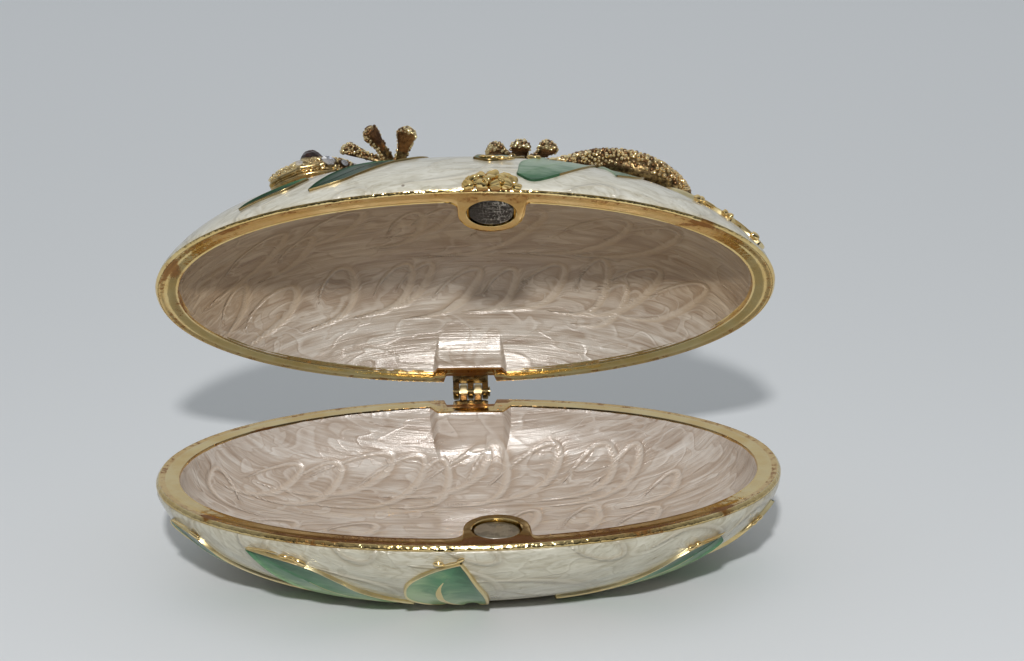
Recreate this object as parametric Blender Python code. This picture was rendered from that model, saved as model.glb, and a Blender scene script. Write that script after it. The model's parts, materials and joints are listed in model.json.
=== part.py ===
"""Oval trinket box with a hinged lid, raised leaves and a lizard on its crown.

Frame: metres, +Z up, +X along the box's length, -Y towards its front.
The origin is the centre of the flat underside. The lid is modelled standing open.
"""

import math

import bmesh
import bpy
import numpy as np
from mathutils import Matrix

MM = 0.001

# Driving sizes of the two shells.
HALF_LENGTH = 50.0 * MM
HALF_WIDTH = 30.5 * MM
OUTLINE_POWER = 2.07  # 2 is a true ellipse; a little more fills the shoulders
BASE_HEIGHT = 16.1 * MM  # flat underside to the base's rim plane
BASE_FLOOR = 2.7 * MM
LAND_WIDTH = 3.2 * MM  # flat polished land all round each rim
LAND_ENDS = 1.2  # how much broader the land is at the two ends of the oval
BAND_HEIGHT = 1.3 * MM  # gold side band under each land
EDGE_ROUND = 0.5 * MM
CLOSED_GAP = 0.3 * MM  # between the two lands when the box is shut
AROUND = 44  # facets round each shell

# A dome is depth * (1 - rho ** bulge) ** shoulder over the outline, rho running 0 to 1.
BASE_OUTER = {"depth": 18.6 * MM, "bulge": 2.0, "shoulder": 0.52}
BASE_INNER = {"depth": BASE_HEIGHT - BASE_FLOOR, "bulge": 3.0, "shoulder": 0.45}
LID_OUTER = {"depth": 17.3 * MM, "bulge": 2.6, "shoulder": 0.70}
LID_INNER = {"depth": 15.2 * MM, "bulge": 2.7, "shoulder": 0.68}
DOME_RINGS = 6

# Hinge at the middle of the back.
LID_OPEN = math.radians(49.0)
HINGE_Y = HALF_WIDTH + 2.9 * MM
HINGE_ABOVE_RIM = CLOSED_GAP / 2
KNUCKLE_RADIUS = 1.5 * MM
PIN_RADIUS = 0.55 * MM
PIN_HOLE_RADIUS = 0.8 * MM
PIN_HALF_LENGTH = 3.35 * MM
PIN_HEAD_RADIUS = 0.9 * MM
PIN_HEAD_HEIGHT = 0.4 * MM
EAR_WIDTH = 0.85 * MM
KNUCKLE_WIDTH = 1.3 * MM
KNUCKLE_GAP = 0.2 * MM
LEAF_PLATE_HALF_WIDTH = 3.3 * MM
LEAF_PLATE_THICKNESS = 0.9 * MM
LEAF_PLATE_TOP = 0.5 * MM  # depth under the rim plane of the plate's top and of its foot
LEAF_PLATE_DROP = 4.4 * MM
ARM_ROOT = (0.6 * MM, 3.4 * MM)  # depths between which an arm leaves its plate
KNUCKLE_SWING = (125.0, -160.0)  # the part of the knuckle's circle that its arm leaves bare
NOTCH_HALF_WIDTH = 4.1 * MM
NOTCH_FLARE = 1.0 * MM
NOTCH_DEPTH = 2.7 * MM
NOTCH_HEIGHT = 5.6 * MM
BUMP_HALF_WIDTH = 5.4 * MM
BUMP_WALL = 3.0 * MM  # metal between the notch and the box's inside

# Magnets, set a little right of the middle of the front.
MAGNET_X = 4.6 * MM
MAGNET_INSET = 6.6 * MM
MAGNET_RADIUS = 3.5 * MM
MAGNET_HOLE_RADIUS = 3.8 * MM
MAGNET_THICKNESS = 1.6 * MM
MAGNET_RECESS = 0.2 * MM
BOSS_RADIUS = 5.35 * MM
SEAT_GAP = 0.3 * MM  # between a piece and the casting it is set in

# Leaf relief: raised rims, hollow blades, a midrib.
LEAF_EDGE = 0.75 * MM
LEAF_BLADE = 0.4 * MM
LEAF_ROOT_SINK = 0.8 * MM
LEAF_STEPS = 6


def powered(value, power):
    """Signed power, so that a superellipse closes in all four quarters."""
    return np.sign(value) * np.abs(value) ** power


def outline(angle, inset=0.0):
    """Plan outline of the shells at an ellipse angle, moved in by inset, more so at its ends."""
    x = (HALF_LENGTH - inset * LAND_ENDS) * powered(np.cos(angle), 2 / OUTLINE_POWER)
    y = (HALF_WIDTH - inset) * powered(np.sin(angle), 2 / OUTLINE_POWER)
    return x, y


def dome_height(rho, dome):
    """Height of a dome over its rim plane where the outline is scaled by rho."""
    inside = np.clip(1 - np.clip(rho, 0, 1) ** dome["bulge"], 0, 1)
    return dome["depth"] * inside ** dome["shoulder"]


def dome_rho(height, dome):
    """The scale of the outline at which a dome has a given height."""
    level = (height / dome["depth"]) ** (1 / dome["shoulder"])
    return (1 - level) ** (1 / dome["bulge"])


def plan_rho(x, y):
    """How far a plan point lies out towards the rim: 0 at the middle, 1 on the outline."""
    px = np.abs(x / HALF_LENGTH) ** OUTLINE_POWER
    py = np.abs(y / HALF_WIDTH) ** OUTLINE_POWER
    return (px + py) ** (1 / OUTLINE_POWER)


def lid_top(x, y):
    """Height of the lid's outside over its rim plane at a plan point."""
    return dome_height(plan_rho(x, y), LID_OUTER)


def material(name, color, roughness, metallic):
    """A Principled material in one plain finish."""
    result = bpy.data.materials.new(name)
    result.use_nodes = True
    shader = result.node_tree.nodes["Principled BSDF"]
    shader.inputs["Base Color"].default_value = (*color, 1.0)
    shader.inputs["Roughness"].default_value = roughness
    shader.inputs["Metallic"].default_value = metallic
    result.diffuse_color = (*color, 1.0)
    return result


def dress(piece, name, finish):
    """Give a piece its node name and its one material."""
    piece.name = name
    piece.data.name = name
    piece.data.materials.clear()
    piece.data.materials.append(finish)


def new_object(name, mesh, finish):
    """Link a mesh into the box's collection under a node name."""
    piece = bpy.data.objects.new(name, mesh)
    dress(piece, name, finish)
    parts.objects.link(piece)
    return piece


def loft(rings):
    """Closed mesh through equal rings of points, with its two ends capped."""
    work = bmesh.new()
    rows = [[work.verts.new(point) for point in ring] for ring in rings]
    for low, high in zip(rows, rows[1:]):
        for i in range(len(low)):
            j = (i + 1) % len(low)
            work.faces.new((low[i], low[j], high[j], high[i]))
    work.faces.new(rows[0][::-1])
    work.faces.new(rows[-1])
    bmesh.ops.recalc_face_normals(work, faces=work.faces)
    mesh = bpy.data.meshes.new("loft")
    work.to_mesh(mesh)
    work.free()
    return mesh


def smooth(piece, angle=35.0):
    """Shade a piece smooth, with its real edges kept sharp."""
    piece.data.shade_smooth()
    piece.data.set_sharp_from_angle(angle=math.radians(angle))


def evaluated_mesh(piece):
    """The piece's mesh with its modifiers applied."""
    graph = bpy.context.evaluated_depsgraph_get()
    graph.update()
    return bpy.data.meshes.new_from_object(piece.evaluated_get(graph), depsgraph=graph)


def combine(piece, tools, operation):
    """Join tools to a piece, or cut them from it, one by one."""
    for tool in tools:
        change = piece.modifiers.new(operation.title(), "BOOLEAN")
        change.operation = operation
        change.solver = "EXACT"
        change.object = tool
        old_mesh = piece.data
        new_mesh = evaluated_mesh(piece)
        piece.modifiers.clear()
        piece.data = new_mesh
        bpy.data.meshes.remove(old_mesh)
        bpy.data.objects.remove(tool)


def tidy_mesh(piece, distance=0.002 * MM):
    """Merge the doubled points that joining leaves, and drop slivers."""
    work = bmesh.new()
    work.from_mesh(piece.data)
    bmesh.ops.remove_doubles(work, verts=work.verts, dist=distance)
    bmesh.ops.dissolve_degenerate(work, edges=work.edges, dist=distance)
    work.to_mesh(piece.data)
    work.free()


def box_tool(name, low, high):
    """A box between two corners."""
    work = bmesh.new()
    bmesh.ops.create_cube(work, size=1.0)
    size = [b - a for a, b in zip(low, high)]
    middle = [(a + b) / 2 for a, b in zip(low, high)]
    bmesh.ops.scale(work, vec=size, verts=work.verts)
    bmesh.ops.translate(work, vec=middle, verts=work.verts)
    mesh = bpy.data.meshes.new(name)
    work.to_mesh(mesh)
    work.free()
    return new_object(name, mesh, gold)


def cylinder_tool(name, middle, radius, height, axis="Z", sides=24):
    """A capped cylinder with its middle at a point."""
    work = bmesh.new()
    bmesh.ops.create_cone(
        work, cap_ends=True, segments=sides, radius1=radius, radius2=radius, depth=height
    )
    if axis == "X":
        turn = Matrix.Rotation(math.pi / 2, 3, "Y")
        bmesh.ops.rotate(work, cent=(0, 0, 0), matrix=turn, verts=work.verts)
    bmesh.ops.translate(work, vec=middle, verts=work.verts)
    mesh = bpy.data.meshes.new(name)
    work.to_mesh(mesh)
    work.free()
    return new_object(name, mesh, gold)


# Shells. Heights grow from the rim plane to the crown; side is +1 for the lid, -1 for the base.


def level_ring(inset, height, side, rho=1.0):
    """One ring of points round a shell: the outline moved in, then scaled by rho."""
    angle = np.linspace(0, 2 * math.pi, AROUND, endpoint=False)
    x, y = outline(angle, inset)
    return np.stack([x * rho, y * rho, np.full(AROUND, side * height)], axis=1)


def outer_rings(dome, last_height, side):
    """Rings of a shell's outside, from its rim plane over the gold band to the crown."""
    rings = [
        level_ring(EDGE_ROUND, 0.0, side),
        level_ring(EDGE_ROUND * 0.3, EDGE_ROUND * 0.3, side),
        level_ring(0.0, EDGE_ROUND, side),
        level_ring(0.0, BAND_HEIGHT, side),
    ]
    swings = np.arccos([dome_rho(BAND_HEIGHT * 1.25, dome), dome_rho(last_height, dome)])
    for swing in np.linspace(swings[0], swings[1], DOME_RINGS):
        rho = math.cos(swing)
        rings.append(level_ring(0.0, dome_height(rho, dome), side, rho))
    return rings


def cavity_rings(dome, side):
    """Rings of a shell's inside, from above its rim plane to its floor."""
    rings = [
        level_ring(LAND_WIDTH, -1.0 * MM, side),
        level_ring(LAND_WIDTH, 0.5 * MM, side),
    ]
    swings = np.arccos([dome_rho(1.2 * MM, dome), 0.2])
    for swing in np.linspace(swings[0], swings[1], DOME_RINGS):
        rho = math.cos(swing)
        rings.append(level_ring(LAND_WIDTH, dome_height(rho, dome), side, rho))
    return rings


def notch_tool(side):
    """Cutter for the recess behind the rim that clears the hinge; its sides flare outwards."""
    inner_y = HALF_WIDTH - NOTCH_DEPTH
    outer_y = HALF_WIDTH + 1.5 * MM
    half = NOTCH_HALF_WIDTH
    corner = NOTCH_FLARE / 2
    plan = [
        (half - corner, inner_y),
        (half, inner_y + corner),
        (half + NOTCH_FLARE, outer_y),
        (-half - NOTCH_FLARE, outer_y),
        (-half, inner_y + corner),
        (-half + corner, inner_y),
    ]
    levels = (-1.0 * MM * side, NOTCH_HEIGHT * side)
    mesh = loft([[(x, y, z) for x, y in plan] for z in levels])
    return new_object("notch tool", mesh, gold)


def shell(name, outer, inner, last_height, side, finish):
    """A cast half of the box: outside less its cavity, magnet seat and hinge recess."""
    magnet_y = -(HALF_WIDTH - MAGNET_INSET)
    reach = 20 * MM
    cavity = new_object("cavity tool", loft(cavity_rings(inner, side)), gold)
    boss = cylinder_tool("boss tool", (MAGNET_X, magnet_y, 0), BOSS_RADIUS, 2 * reach)
    bump_y = HALF_WIDTH - NOTCH_DEPTH - BUMP_WALL
    bump = box_tool(
        "bump tool",
        (-BUMP_HALF_WIDTH, bump_y, -reach),
        (BUMP_HALF_WIDTH, HALF_WIDTH + reach, reach),
    )
    combine(cavity, [boss, bump], "DIFFERENCE")
    piece = new_object(name, loft(outer_rings(outer, last_height, side)), finish)
    seat_depth = MAGNET_THICKNESS + MAGNET_RECESS + SEAT_GAP
    seat = cylinder_tool(
        "seat tool", (MAGNET_X, magnet_y, 0), MAGNET_HOLE_RADIUS, 2 * seat_depth
    )
    combine(piece, [cavity, seat, notch_tool(side)], "DIFFERENCE")
    return piece


# Leaves, raised from the outside of a shell.


def dome_point(angle, height, dome):
    """The point of a dome at an ellipse angle and a height over the rim plane."""
    x, y = outline(angle)
    rho = dome_rho(height, dome)
    return np.stack([x * rho, y * rho, height + 0 * angle], axis=-1)


def settle(points, dome):
    """Move points along their own rays from the middle of the rim until they lie on the dome."""
    low = np.full(points.shape[:-1], 0.3)
    high = np.full(points.shape[:-1], 1.7)
    for _ in range(40):
        scale = (low + high) / 2
        moved = points * scale[..., None]
        rho = plan_rho(moved[..., 0], moved[..., 1])
        outside = moved[..., 2] > dome_height(rho, dome)
        outside |= rho > 1
        high = np.where(outside, scale, high)
        low = np.where(outside, low, scale)
    return points * low[..., None]


def dome_normal(points, dome):
    """Outward normals of a dome, from the slope of its height in plan."""
    step = 0.02 * MM
    x, y = points[..., 0], points[..., 1]
    slope_x = dome_height(plan_rho(x + step, y), dome) - dome_height(plan_rho(x - step, y), dome)
    slope_y = dome_height(plan_rho(x, y + step), dome) - dome_height(plan_rho(x, y - step), dome)
    normal = np.stack([-slope_x, -slope_y, np.full(x.shape, 2 * step)], axis=-1)
    return normal / np.linalg.norm(normal, axis=-1, keepdims=True)


def leaf_rings(leaf, dome, side):
    """Cross-sections of one leaf from root to tip: raised edges, hollow blade, midrib."""
    u = np.linspace(0.03, 0.97, LEAF_STEPS)
    angle = np.radians(leaf["root"][0] + (leaf["tip"][0] - leaf["root"][0]) * u)
    angle += math.radians(leaf["bend"]) * u * (1 - u) * 4
    height = (leaf["root"][1] + (leaf["tip"][1] - leaf["root"][1]) * u) * MM
    middle = dome_point(angle, height, dome)
    along = np.gradient(middle, axis=0)
    across = np.cross(dome_normal(middle, dome), along)
    across /= np.linalg.norm(across, axis=1, keepdims=True)
    fullness = math.log(0.5) / math.log(leaf["widest"])
    half = leaf["half_width"] * MM * np.sin(math.pi * u**fullness) ** 0.9 + 0.15 * MM
    lanes = np.array([-1.0, -0.55, 0.0, 0.55, 1.0])
    rise = np.array([LEAF_EDGE, LEAF_BLADE, LEAF_EDGE, LEAF_BLADE, LEAF_EDGE])
    flat = middle[:, None] + across[:, None] * (half[:, None] * lanes)[..., None]
    skin = settle(flat, dome)
    normal = dome_normal(skin, dome)
    swell = np.minimum(1.0, 6 * u)[:, None]
    top = skin + normal * (rise * swell)[..., None]
    under = skin[:, [-1, 0]] - normal[:, [-1, 0]] * LEAF_ROOT_SINK
    rings = np.concatenate([top, under], axis=1)
    rings[..., 2] *= side
    return rings


def add_leaves(piece, leaves, dome, side):
    """Raise a list of leaves on a shell."""
    tools = []
    for leaf in leaves:
        tools.append(new_object("leaf tool", loft(leaf_rings(leaf, dome, side)), gold))
    combine(piece, tools, "UNION")
    tidy_mesh(piece)


# Each leaf: root and tip as (ellipse angle in degrees, height from the rim plane in mm).
BASE_LEAVES = [
    {"root": (-108, 14.0), "tip": (-133, 2.6), "half_width": 4.6, "bend": -4, "widest": 0.5},
    {"root": (-99, 14.0), "tip": (-91, 2.4), "half_width": 5.6, "bend": -2, "widest": 0.62},
    {"root": (-66, 14.2), "tip": (-31, 3.0), "half_width": 4.4, "bend": -5, "widest": 0.5},
    {"root": (-132, 13.6), "tip": (-155, 2.4), "half_width": 4.4, "bend": -4, "widest": 0.5},
    {"root": (-22, 12.6), "tip": (2, 3.0), "half_width": 4.2, "bend": 0, "widest": 0.5},
    {"root": (52, 14.0), "tip": (36, 2.8), "half_width": 4.6, "bend": 3, "widest": 0.55},
    {"root": (74, 14.0), "tip": (66, 2.8), "half_width": 4.8, "bend": 2, "widest": 0.6},
    {"root": (108, 14.0), "tip": (118, 2.8), "half_width": 4.8, "bend": -2, "widest": 0.6},
    {"root": (130, 14.0), "tip": (148, 2.6), "half_width": 4.6, "bend": -3, "widest": 0.5},
    {"root": (160, 13.0), "tip": (176, 3.2), "half_width": 4.0, "bend": 0, "widest": 0.5},
]
LID_LEAVES = [
    {"root": (-112, 13.2), "tip": (-137, 2.6), "half_width": 3.6, "bend": -6, "widest": 0.5},
    {"root": (-96, 13.0), "tip": (-116.5, 3.2), "half_width": 3.4, "bend": 3, "widest": 0.5},
    {"root": (-86, 14.6), "tip": (-83, 7.6), "half_width": 3.6, "bend": 0, "widest": 0.6},
    {"root": (-52, 14.2), "tip": (-80, 3.0), "half_width": 4.6, "bend": -4, "widest": 0.6},
    {"root": (-42, 14.4), "tip": (-52.5, 8.4), "half_width": 4.2, "bend": 2, "widest": 0.6},
    {"root": (-14, 11.5), "tip": (-35, 6.4), "half_width": 2.6, "bend": 0, "widest": 0.6},
    {"root": (-8, 10.0), "tip": (-26, 3.8), "half_width": 2.4, "bend": 0, "widest": 0.6},
    {"root": (-3, 8.0), "tip": (-15, 2.2), "half_width": 2.2, "bend": 0, "widest": 0.6},
    {"root": (40, 13.6), "tip": (30, 3.2), "half_width": 4.4, "bend": 3, "widest": 0.55},
    {"root": (62, 13.6), "tip": (58, 3.4), "half_width": 4.6, "bend": 2, "widest": 0.6},
    {"root": (112, 13.6), "tip": (122, 3.4), "half_width": 4.6, "bend": -2, "widest": 0.6},
    {"root": (136, 13.4), "tip": (150, 3.0), "half_width": 4.2, "bend": -3, "widest": 0.5},
    {"root": (168, 11.6), "tip": (181, 3.2), "half_width": 3.8, "bend": 0, "widest": 0.5},
]


# Small fittings.


def magnet(name, rim_height, side, finish):
    """A plain disc magnet, a touch below the land of the boss it is set in."""
    middle = MAGNET_RECESS + MAGNET_THICKNESS / 2
    place = (MAGNET_X, -(HALF_WIDTH - MAGNET_INSET), rim_height + side * middle)
    disc = cylinder_tool("disc", place, MAGNET_RADIUS, MAGNET_THICKNESS)
    dress(disc, name, finish)
    smooth(disc)
    return disc


def hinge_leaf(name, arm_width, arm_places, side, finish):
    """A plate in the recess, with arms reaching back to rings round the pin."""
    plate_y = HALF_WIDTH - NOTCH_DEPTH + SEAT_GAP
    low_z, high_z = sorted((LEAF_PLATE_TOP * side, LEAF_PLATE_DROP * side))
    plate = box_tool(
        "plate",
        (-LEAF_PLATE_HALF_WIDTH, plate_y, low_z),
        (LEAF_PLATE_HALF_WIDTH, plate_y + LEAF_PLATE_THICKNESS, high_z),
    )
    axis_z = -side * HINGE_ABOVE_RIM
    swing = np.radians(np.linspace(*KNUCKLE_SWING, 13))
    knuckle_y = HINGE_Y + KNUCKLE_RADIUS * np.cos(swing)
    knuckle_z = axis_z + side * KNUCKLE_RADIUS * np.sin(swing)
    start_y = plate_y + LEAF_PLATE_THICKNESS / 2
    foot = [(start_y, depth * side) for depth in ARM_ROOT]
    profile = foot + list(zip(knuckle_y, knuckle_z))
    for place in arm_places:
        ends = (place - arm_width / 2, place + arm_width / 2)
        arm = new_object("arm tool", loft([[(x, y, z) for y, z in profile] for x in ends]), gold)
        combine(plate, [arm], "UNION")
    hole = cylinder_tool(
        "hole tool", (0, HINGE_Y, axis_z), PIN_HOLE_RADIUS, 3 * PIN_HALF_LENGTH, "X", 12
    )
    combine(plate, [hole], "DIFFERENCE")
    dress(plate, name, finish)
    tidy_mesh(plate)
    smooth(plate)
    return plate


def hinge_pin(name, finish):
    """A plain pin with a small upset head at each end."""
    place = (0, HINGE_Y, BASE_HEIGHT + HINGE_ABOVE_RIM)
    pin = cylinder_tool("pin", place, PIN_RADIUS, 2 * PIN_HALF_LENGTH, "X", 12)
    heads = []
    for end in (-1, 1):
        middle = (end * (PIN_HALF_LENGTH + PIN_HEAD_HEIGHT / 3), *place[1:])
        heads.append(cylinder_tool("head tool", middle, PIN_HEAD_RADIUS, PIN_HEAD_HEIGHT, "X", 12))
    combine(pin, heads, "UNION")
    dress(pin, name, finish)
    smooth(pin)
    return pin


def ball_tool(middle, radius, segments=9, rings=6):
    """A faceted ball."""
    work = bmesh.new()
    bmesh.ops.create_uvsphere(work, u_segments=segments, v_segments=rings, radius=radius)
    bmesh.ops.translate(work, vec=middle, verts=work.verts)
    mesh = bpy.data.meshes.new("ball tool")
    work.to_mesh(mesh)
    work.free()
    return new_object("ball tool", mesh, gold)


# Nuggets of the thumb piece: along the rim, out from it, height, radius, in mm.
NUGGETS = [
    (-3.1, 0.3, 0.9, 1.25),
    (-1.8, 0.4, 2.3, 1.35),
    (-0.3, 0.6, 1.0, 1.5),
    (0.3, 0.3, 2.9, 1.45),
    (1.9, 0.5, 2.4, 1.4),
    (2.6, 0.6, 0.9, 1.2),
    (3.6, 0.3, 1.3, 1.1),
]


def thumb_piece(name, finish):
    """A nugget-like cluster that overhangs the lid's front edge, seated on the enamel."""
    cluster = None
    tools = []
    for along, out, height, radius in NUGGETS:
        z = height * MM
        x = MAGNET_X + along * MM
        rho = float(dome_rho(z, LID_OUTER))
        front_y = -HALF_WIDTH * (1 - abs(x / HALF_LENGTH) ** 2) ** 0.5 * rho
        y = front_y - out * MM
        ball = ball_tool((x, y, z), radius * MM)
        if cluster is None:
            cluster = ball
        else:
            tools.append(ball)
    combine(cluster, tools, "UNION")
    clear = outer_rings(LID_OUTER, 15 * MM, 1)
    middle = np.array([0, 0, 4 * MM])
    growth = 1 + SEAT_GAP / HALF_WIDTH
    grown = [(ring - middle) * growth + middle for ring in clear]
    room = new_object("room tool", loft(grown), gold)
    below = box_tool(
        "below tool", (-HALF_LENGTH, -HALF_WIDTH * 2, -9 * MM), (HALF_LENGTH, 0, 0.1 * MM)
    )
    combine(cluster, [room, below], "DIFFERENCE")
    dress(cluster, name, finish)
    tidy_mesh(cluster)
    smooth(cluster, 60)
    return cluster


# Lizard, in the lid's frame.
BODY_SIDES = 10
BODY_STEPS = 26
BODY_SQUARENESS = 0.85  # 1 is an ellipse; less fills the flanks
BELLY_GAP = 0.3 * MM
# Plan x and y, half width, half height and lift of the belly off the lid, in mm.
BODY_STATIONS = [
    (-31.1, -7.2, 1.2, 1.2, 1.5),
    (-30.0, -7.4, 3.0, 1.9, 0.8),
    (-27.4, -7.6, 4.2, 2.4, 0.2),
    (-24.4, -7.6, 4.7, 2.7, 0.0),
    (-21.0, -6.8, 4.1, 2.4, 0.0),
    (-17.4, -5.0, 3.1, 1.9, 0.0),
    (-13.0, -2.8, 3.8, 2.3, 0.0),
    (-7.0, -1.0, 4.3, 2.4, 0.0),
    (0.0, -0.2, 4.4, 2.4, 0.0),
    (6.5, -1.0, 4.1, 2.3, 0.0),
    (12.0, -3.2, 3.4, 2.3, 0.1),
    (17.0, -6.2, 2.5, 2.2, 0.4),
    (21.5, -8.8, 2.3, 2.2, 1.0),
    (26.5, -10.2, 2.2, 2.2, 1.3),
    (31.0, -9.4, 2.1, 2.1, 1.2),
    (34.4, -6.0, 1.9, 1.9, 0.9),
    (35.2, -1.6, 1.5, 1.5, 0.6),
    (33.2, 1.8, 1.0, 1.0, 0.4),
    (30.4, 2.4, 0.5, 0.6, 0.3),
]


def through(stations, place):
    """A smooth run through stations, Catmull-Rom pieces, read at places counted in stations."""
    table = np.array(stations, dtype=float)
    padded = np.vstack([2 * table[0] - table[1], table, 2 * table[-1] - table[-2]])
    piece = np.minimum(place.astype(int), len(table) - 2)
    t = (place - piece)[:, None]
    a, b, c, d = (padded[piece + k] for k in range(4))
    bend = (2 * a - 5 * b + 4 * c - d) * t**2 + (3 * b - 3 * c + d - a) * t**3
    return 0.5 * (2 * b + (c - a) * t + bend)


def body_section(place, angle):
    """Points of the egg-shaped sections round the lizard's spine.

    place counts stations along the spine, angle runs from the front side over the back.
    """
    def spine_at(where):
        run = through(BODY_STATIONS, where) * MM
        lift = run[:, 4] + BELLY_GAP + run[:, 3]
        height = lid_top(run[:, 0], run[:, 1]) + lift
        return np.column_stack([run[:, 0], run[:, 1], height]), run[:, 2], run[:, 3]

    spine, half_width, half_height = spine_at(place)
    along = spine_at(place + 0.01)[0] - spine_at(place - 0.01)[0]
    across = np.cross(along, np.array([0, 0, 1.0]))
    across /= np.linalg.norm(across, axis=1, keepdims=True)
    up = np.cross(across, along)
    up /= np.linalg.norm(up, axis=1, keepdims=True)
    wide = across * (powered(np.cos(angle), BODY_SQUARENESS) * half_width)[:, None]
    tall = up * (powered(np.sin(angle), BODY_SQUARENESS) * half_height)[:, None]
    return spine + wide + tall


def body_rings():
    """Sections of the whole body from snout to tail tip, a little closer at the head."""
    last = len(BODY_STATIONS) - 1
    places = 0.02 + (last - 0.04) * np.linspace(0, 1, BODY_STEPS) ** 1.1
    angle = np.linspace(0, 2 * math.pi, BODY_SIDES, endpoint=False)
    return [body_section(np.full(BODY_SIDES, place), angle) for place in places]


def limb_tool(points, radii, sides=8):
    """A limb or toe: a curve with its own radius at each point, made a closed mesh."""
    curve = bpy.data.curves.new("limb tool", "CURVE")
    curve.dimensions = "3D"
    curve.bevel_depth = 1.0
    curve.bevel_resolution = sides // 4 - 1
    curve.use_fill_caps = True
    curve.resolution_u = 1
    spline = curve.splines.new("POLY")
    spline.points.add(len(points) - 1)
    for place, point, radius in zip(spline.points, points, radii):
        place.co = (*point, 1.0)
        place.radius = radius
    drawn = bpy.data.objects.new("limb curve", curve)
    parts.objects.link(drawn)
    mesh = evaluated_mesh(drawn)
    bpy.data.objects.remove(drawn)
    work = bmesh.new()
    work.from_mesh(mesh)
    bmesh.ops.remove_doubles(work, verts=work.verts, dist=0.001 * MM)
    bmesh.ops.recalc_face_normals(work, faces=work.faces)
    work.to_mesh(mesh)
    work.free()
    return new_object("limb tool", mesh, gold)


# Limbs: plan x, y and height over the lid in mm, then the radius. A toe has a root and a tip.
NEAR_HAND = {
    "arm": [(-12.5, -2.6, 2.4, 1.7), (-13.0, -7.4, 2.3, 1.5), (-11.2, -11.0, 2.1, 1.7)],
    "toes": [
        ((-12.6, -11.2, 2.2), (-19.6, -12.6, 5.3)),
        ((-11.4, -11.4, 2.2), (-14.9, -16.8, 7.6)),
        ((-10.3, -10.2, 2.1), (-8.6, -16.6, 6.6)),
    ],
    "toe_radius": (0.9, 1.35),
}
FAR_HAND = {
    "arm": [(-12.0, -2.0, 2.4, 1.7), (-12.6, 4.6, 2.3, 1.5), (-12.8, 9.4, 2.1, 1.7)],
    "toes": [
        ((-13.4, 9.8, 2.1), (-18.6, 13.0, 2.8)),
        ((-12.8, 10.0, 2.1), (-14.0, 16.2, 3.2)),
        ((-11.8, 9.6, 2.1), (-8.4, 14.8, 2.8)),
    ],
    "toe_radius": (0.9, 1.35),
}
NEAR_FOOT = {
    "arm": [(10.0, -2.0, 2.2, 1.8), (11.6, -6.4, 2.1, 1.6), (9.6, -9.6, 2.1, 1.8)],
    "toes": [
        ((8.8, -9.8, 2.1), (4.3, -14.4, 2.9)),
        ((9.6, -10.2, 2.1), (9.2, -15.6, 3.5)),
        ((10.8, -9.8, 2.1), (14.5, -14.6, 3.9)),
    ],
    "toe_radius": (0.95, 1.5),
}
FAR_FOOT = {
    "arm": [(8.0, 0.0, 2.2, 1.8), (10.6, 6.4, 2.1, 1.6), (12.0, 10.4, 2.1, 1.8)],
    "toes": [
        ((11.2, 10.8, 2.1), (6.8, 14.8, 2.6)),
        ((12.0, 11.2, 2.1), (12.2, 17.0, 3.0)),
        ((12.9, 10.8, 2.1), (17.2, 14.6, 2.8)),
    ],
    "toe_radius": (0.95, 1.5),
}


def lizard_point(x, y, over):
    """A point over the lid, given in mm."""
    return np.array([x * MM, y * MM, float(lid_top(x * MM, y * MM)) + over * MM])


def hand_tools(hand):
    """An arm and its splayed toes, each toe swelling to a round tip."""
    arm = [lizard_point(x, y, over) for x, y, over, _ in hand["arm"]]
    tools = [limb_tool(arm, [radius * MM for *_, radius in hand["arm"]])]
    slim, round_tip = (size * MM for size in hand["toe_radius"])
    for toe_root, toe_tip in hand["toes"]:
        root = lizard_point(*toe_root)
        tip = lizard_point(*toe_tip)
        steps = (0.0, 0.5, 0.8, 0.93, 1.0)
        sizes = (slim, slim, round_tip, 0.9 * round_tip, 0.45 * round_tip)
        points = [root + (tip - root) * step for step in steps]
        tools.append(limb_tool(points, sizes))
    return tools


# Stones: place along the spine, angle round it (90 is on top), radius in mm.
STONES = {
    "eye_stone_near": (3.05, 68, 1.75),
    "eye_stone_far": (3.05, 112, 1.75),
    "cheek_stone_near": (3.55, 12, 1.05),
    "cheek_stone_far": (3.55, 168, 1.05),
    "brow_stone_near": (2.5, 16, 0.6),
    "brow_stone_far": (2.5, 164, 0.6),
    "neck_stone_near_1": (4.1, 10, 0.6),
    "neck_stone_near_2": (4.6, 20, 0.6),
    "neck_stone_far_1": (4.1, 170, 0.6),
    "neck_stone_far_2": (4.6, 160, 0.6),
}
STONE_SINK = 0.25  # how far a stone's middle lies under the casting's skin, in radii


def stone_middle(name):
    """The middle of a stone, a little under the lizard's skin."""
    place, angle, radius = STONES[name]
    here = np.array([float(place)])
    skin = body_section(here, np.radians([float(angle)]))[0]
    heart = (body_section(here, np.zeros(1)) + body_section(here, np.full(1, math.pi)))[0] / 2
    inward = (heart - skin) / np.linalg.norm(heart - skin)
    return skin + inward * radius * MM * STONE_SINK


def stone_facets(radius):
    """Facets round and over a stone: more on a large one."""
    if radius > 1.0:
        return {"segments": 8, "rings": 6}
    return {"segments": 6, "rings": 4}


def lizard(name, finish):
    """The whole casting: body, four legs and toes made one, with seats for its stones."""
    animal = new_object(name, loft(body_rings()), finish)
    for hand in (NEAR_HAND, FAR_HAND, NEAR_FOOT, FAR_FOOT):
        combine(animal, hand_tools(hand), "UNION")
    seats = []
    for stone_name, (_, _, radius) in STONES.items():
        seat_radius = radius * MM + 0.5 * SEAT_GAP
        seats.append(ball_tool(stone_middle(stone_name), seat_radius, **stone_facets(radius)))
    combine(animal, seats, "DIFFERENCE")
    tidy_mesh(animal)
    smooth(animal, 60)
    return animal


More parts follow.
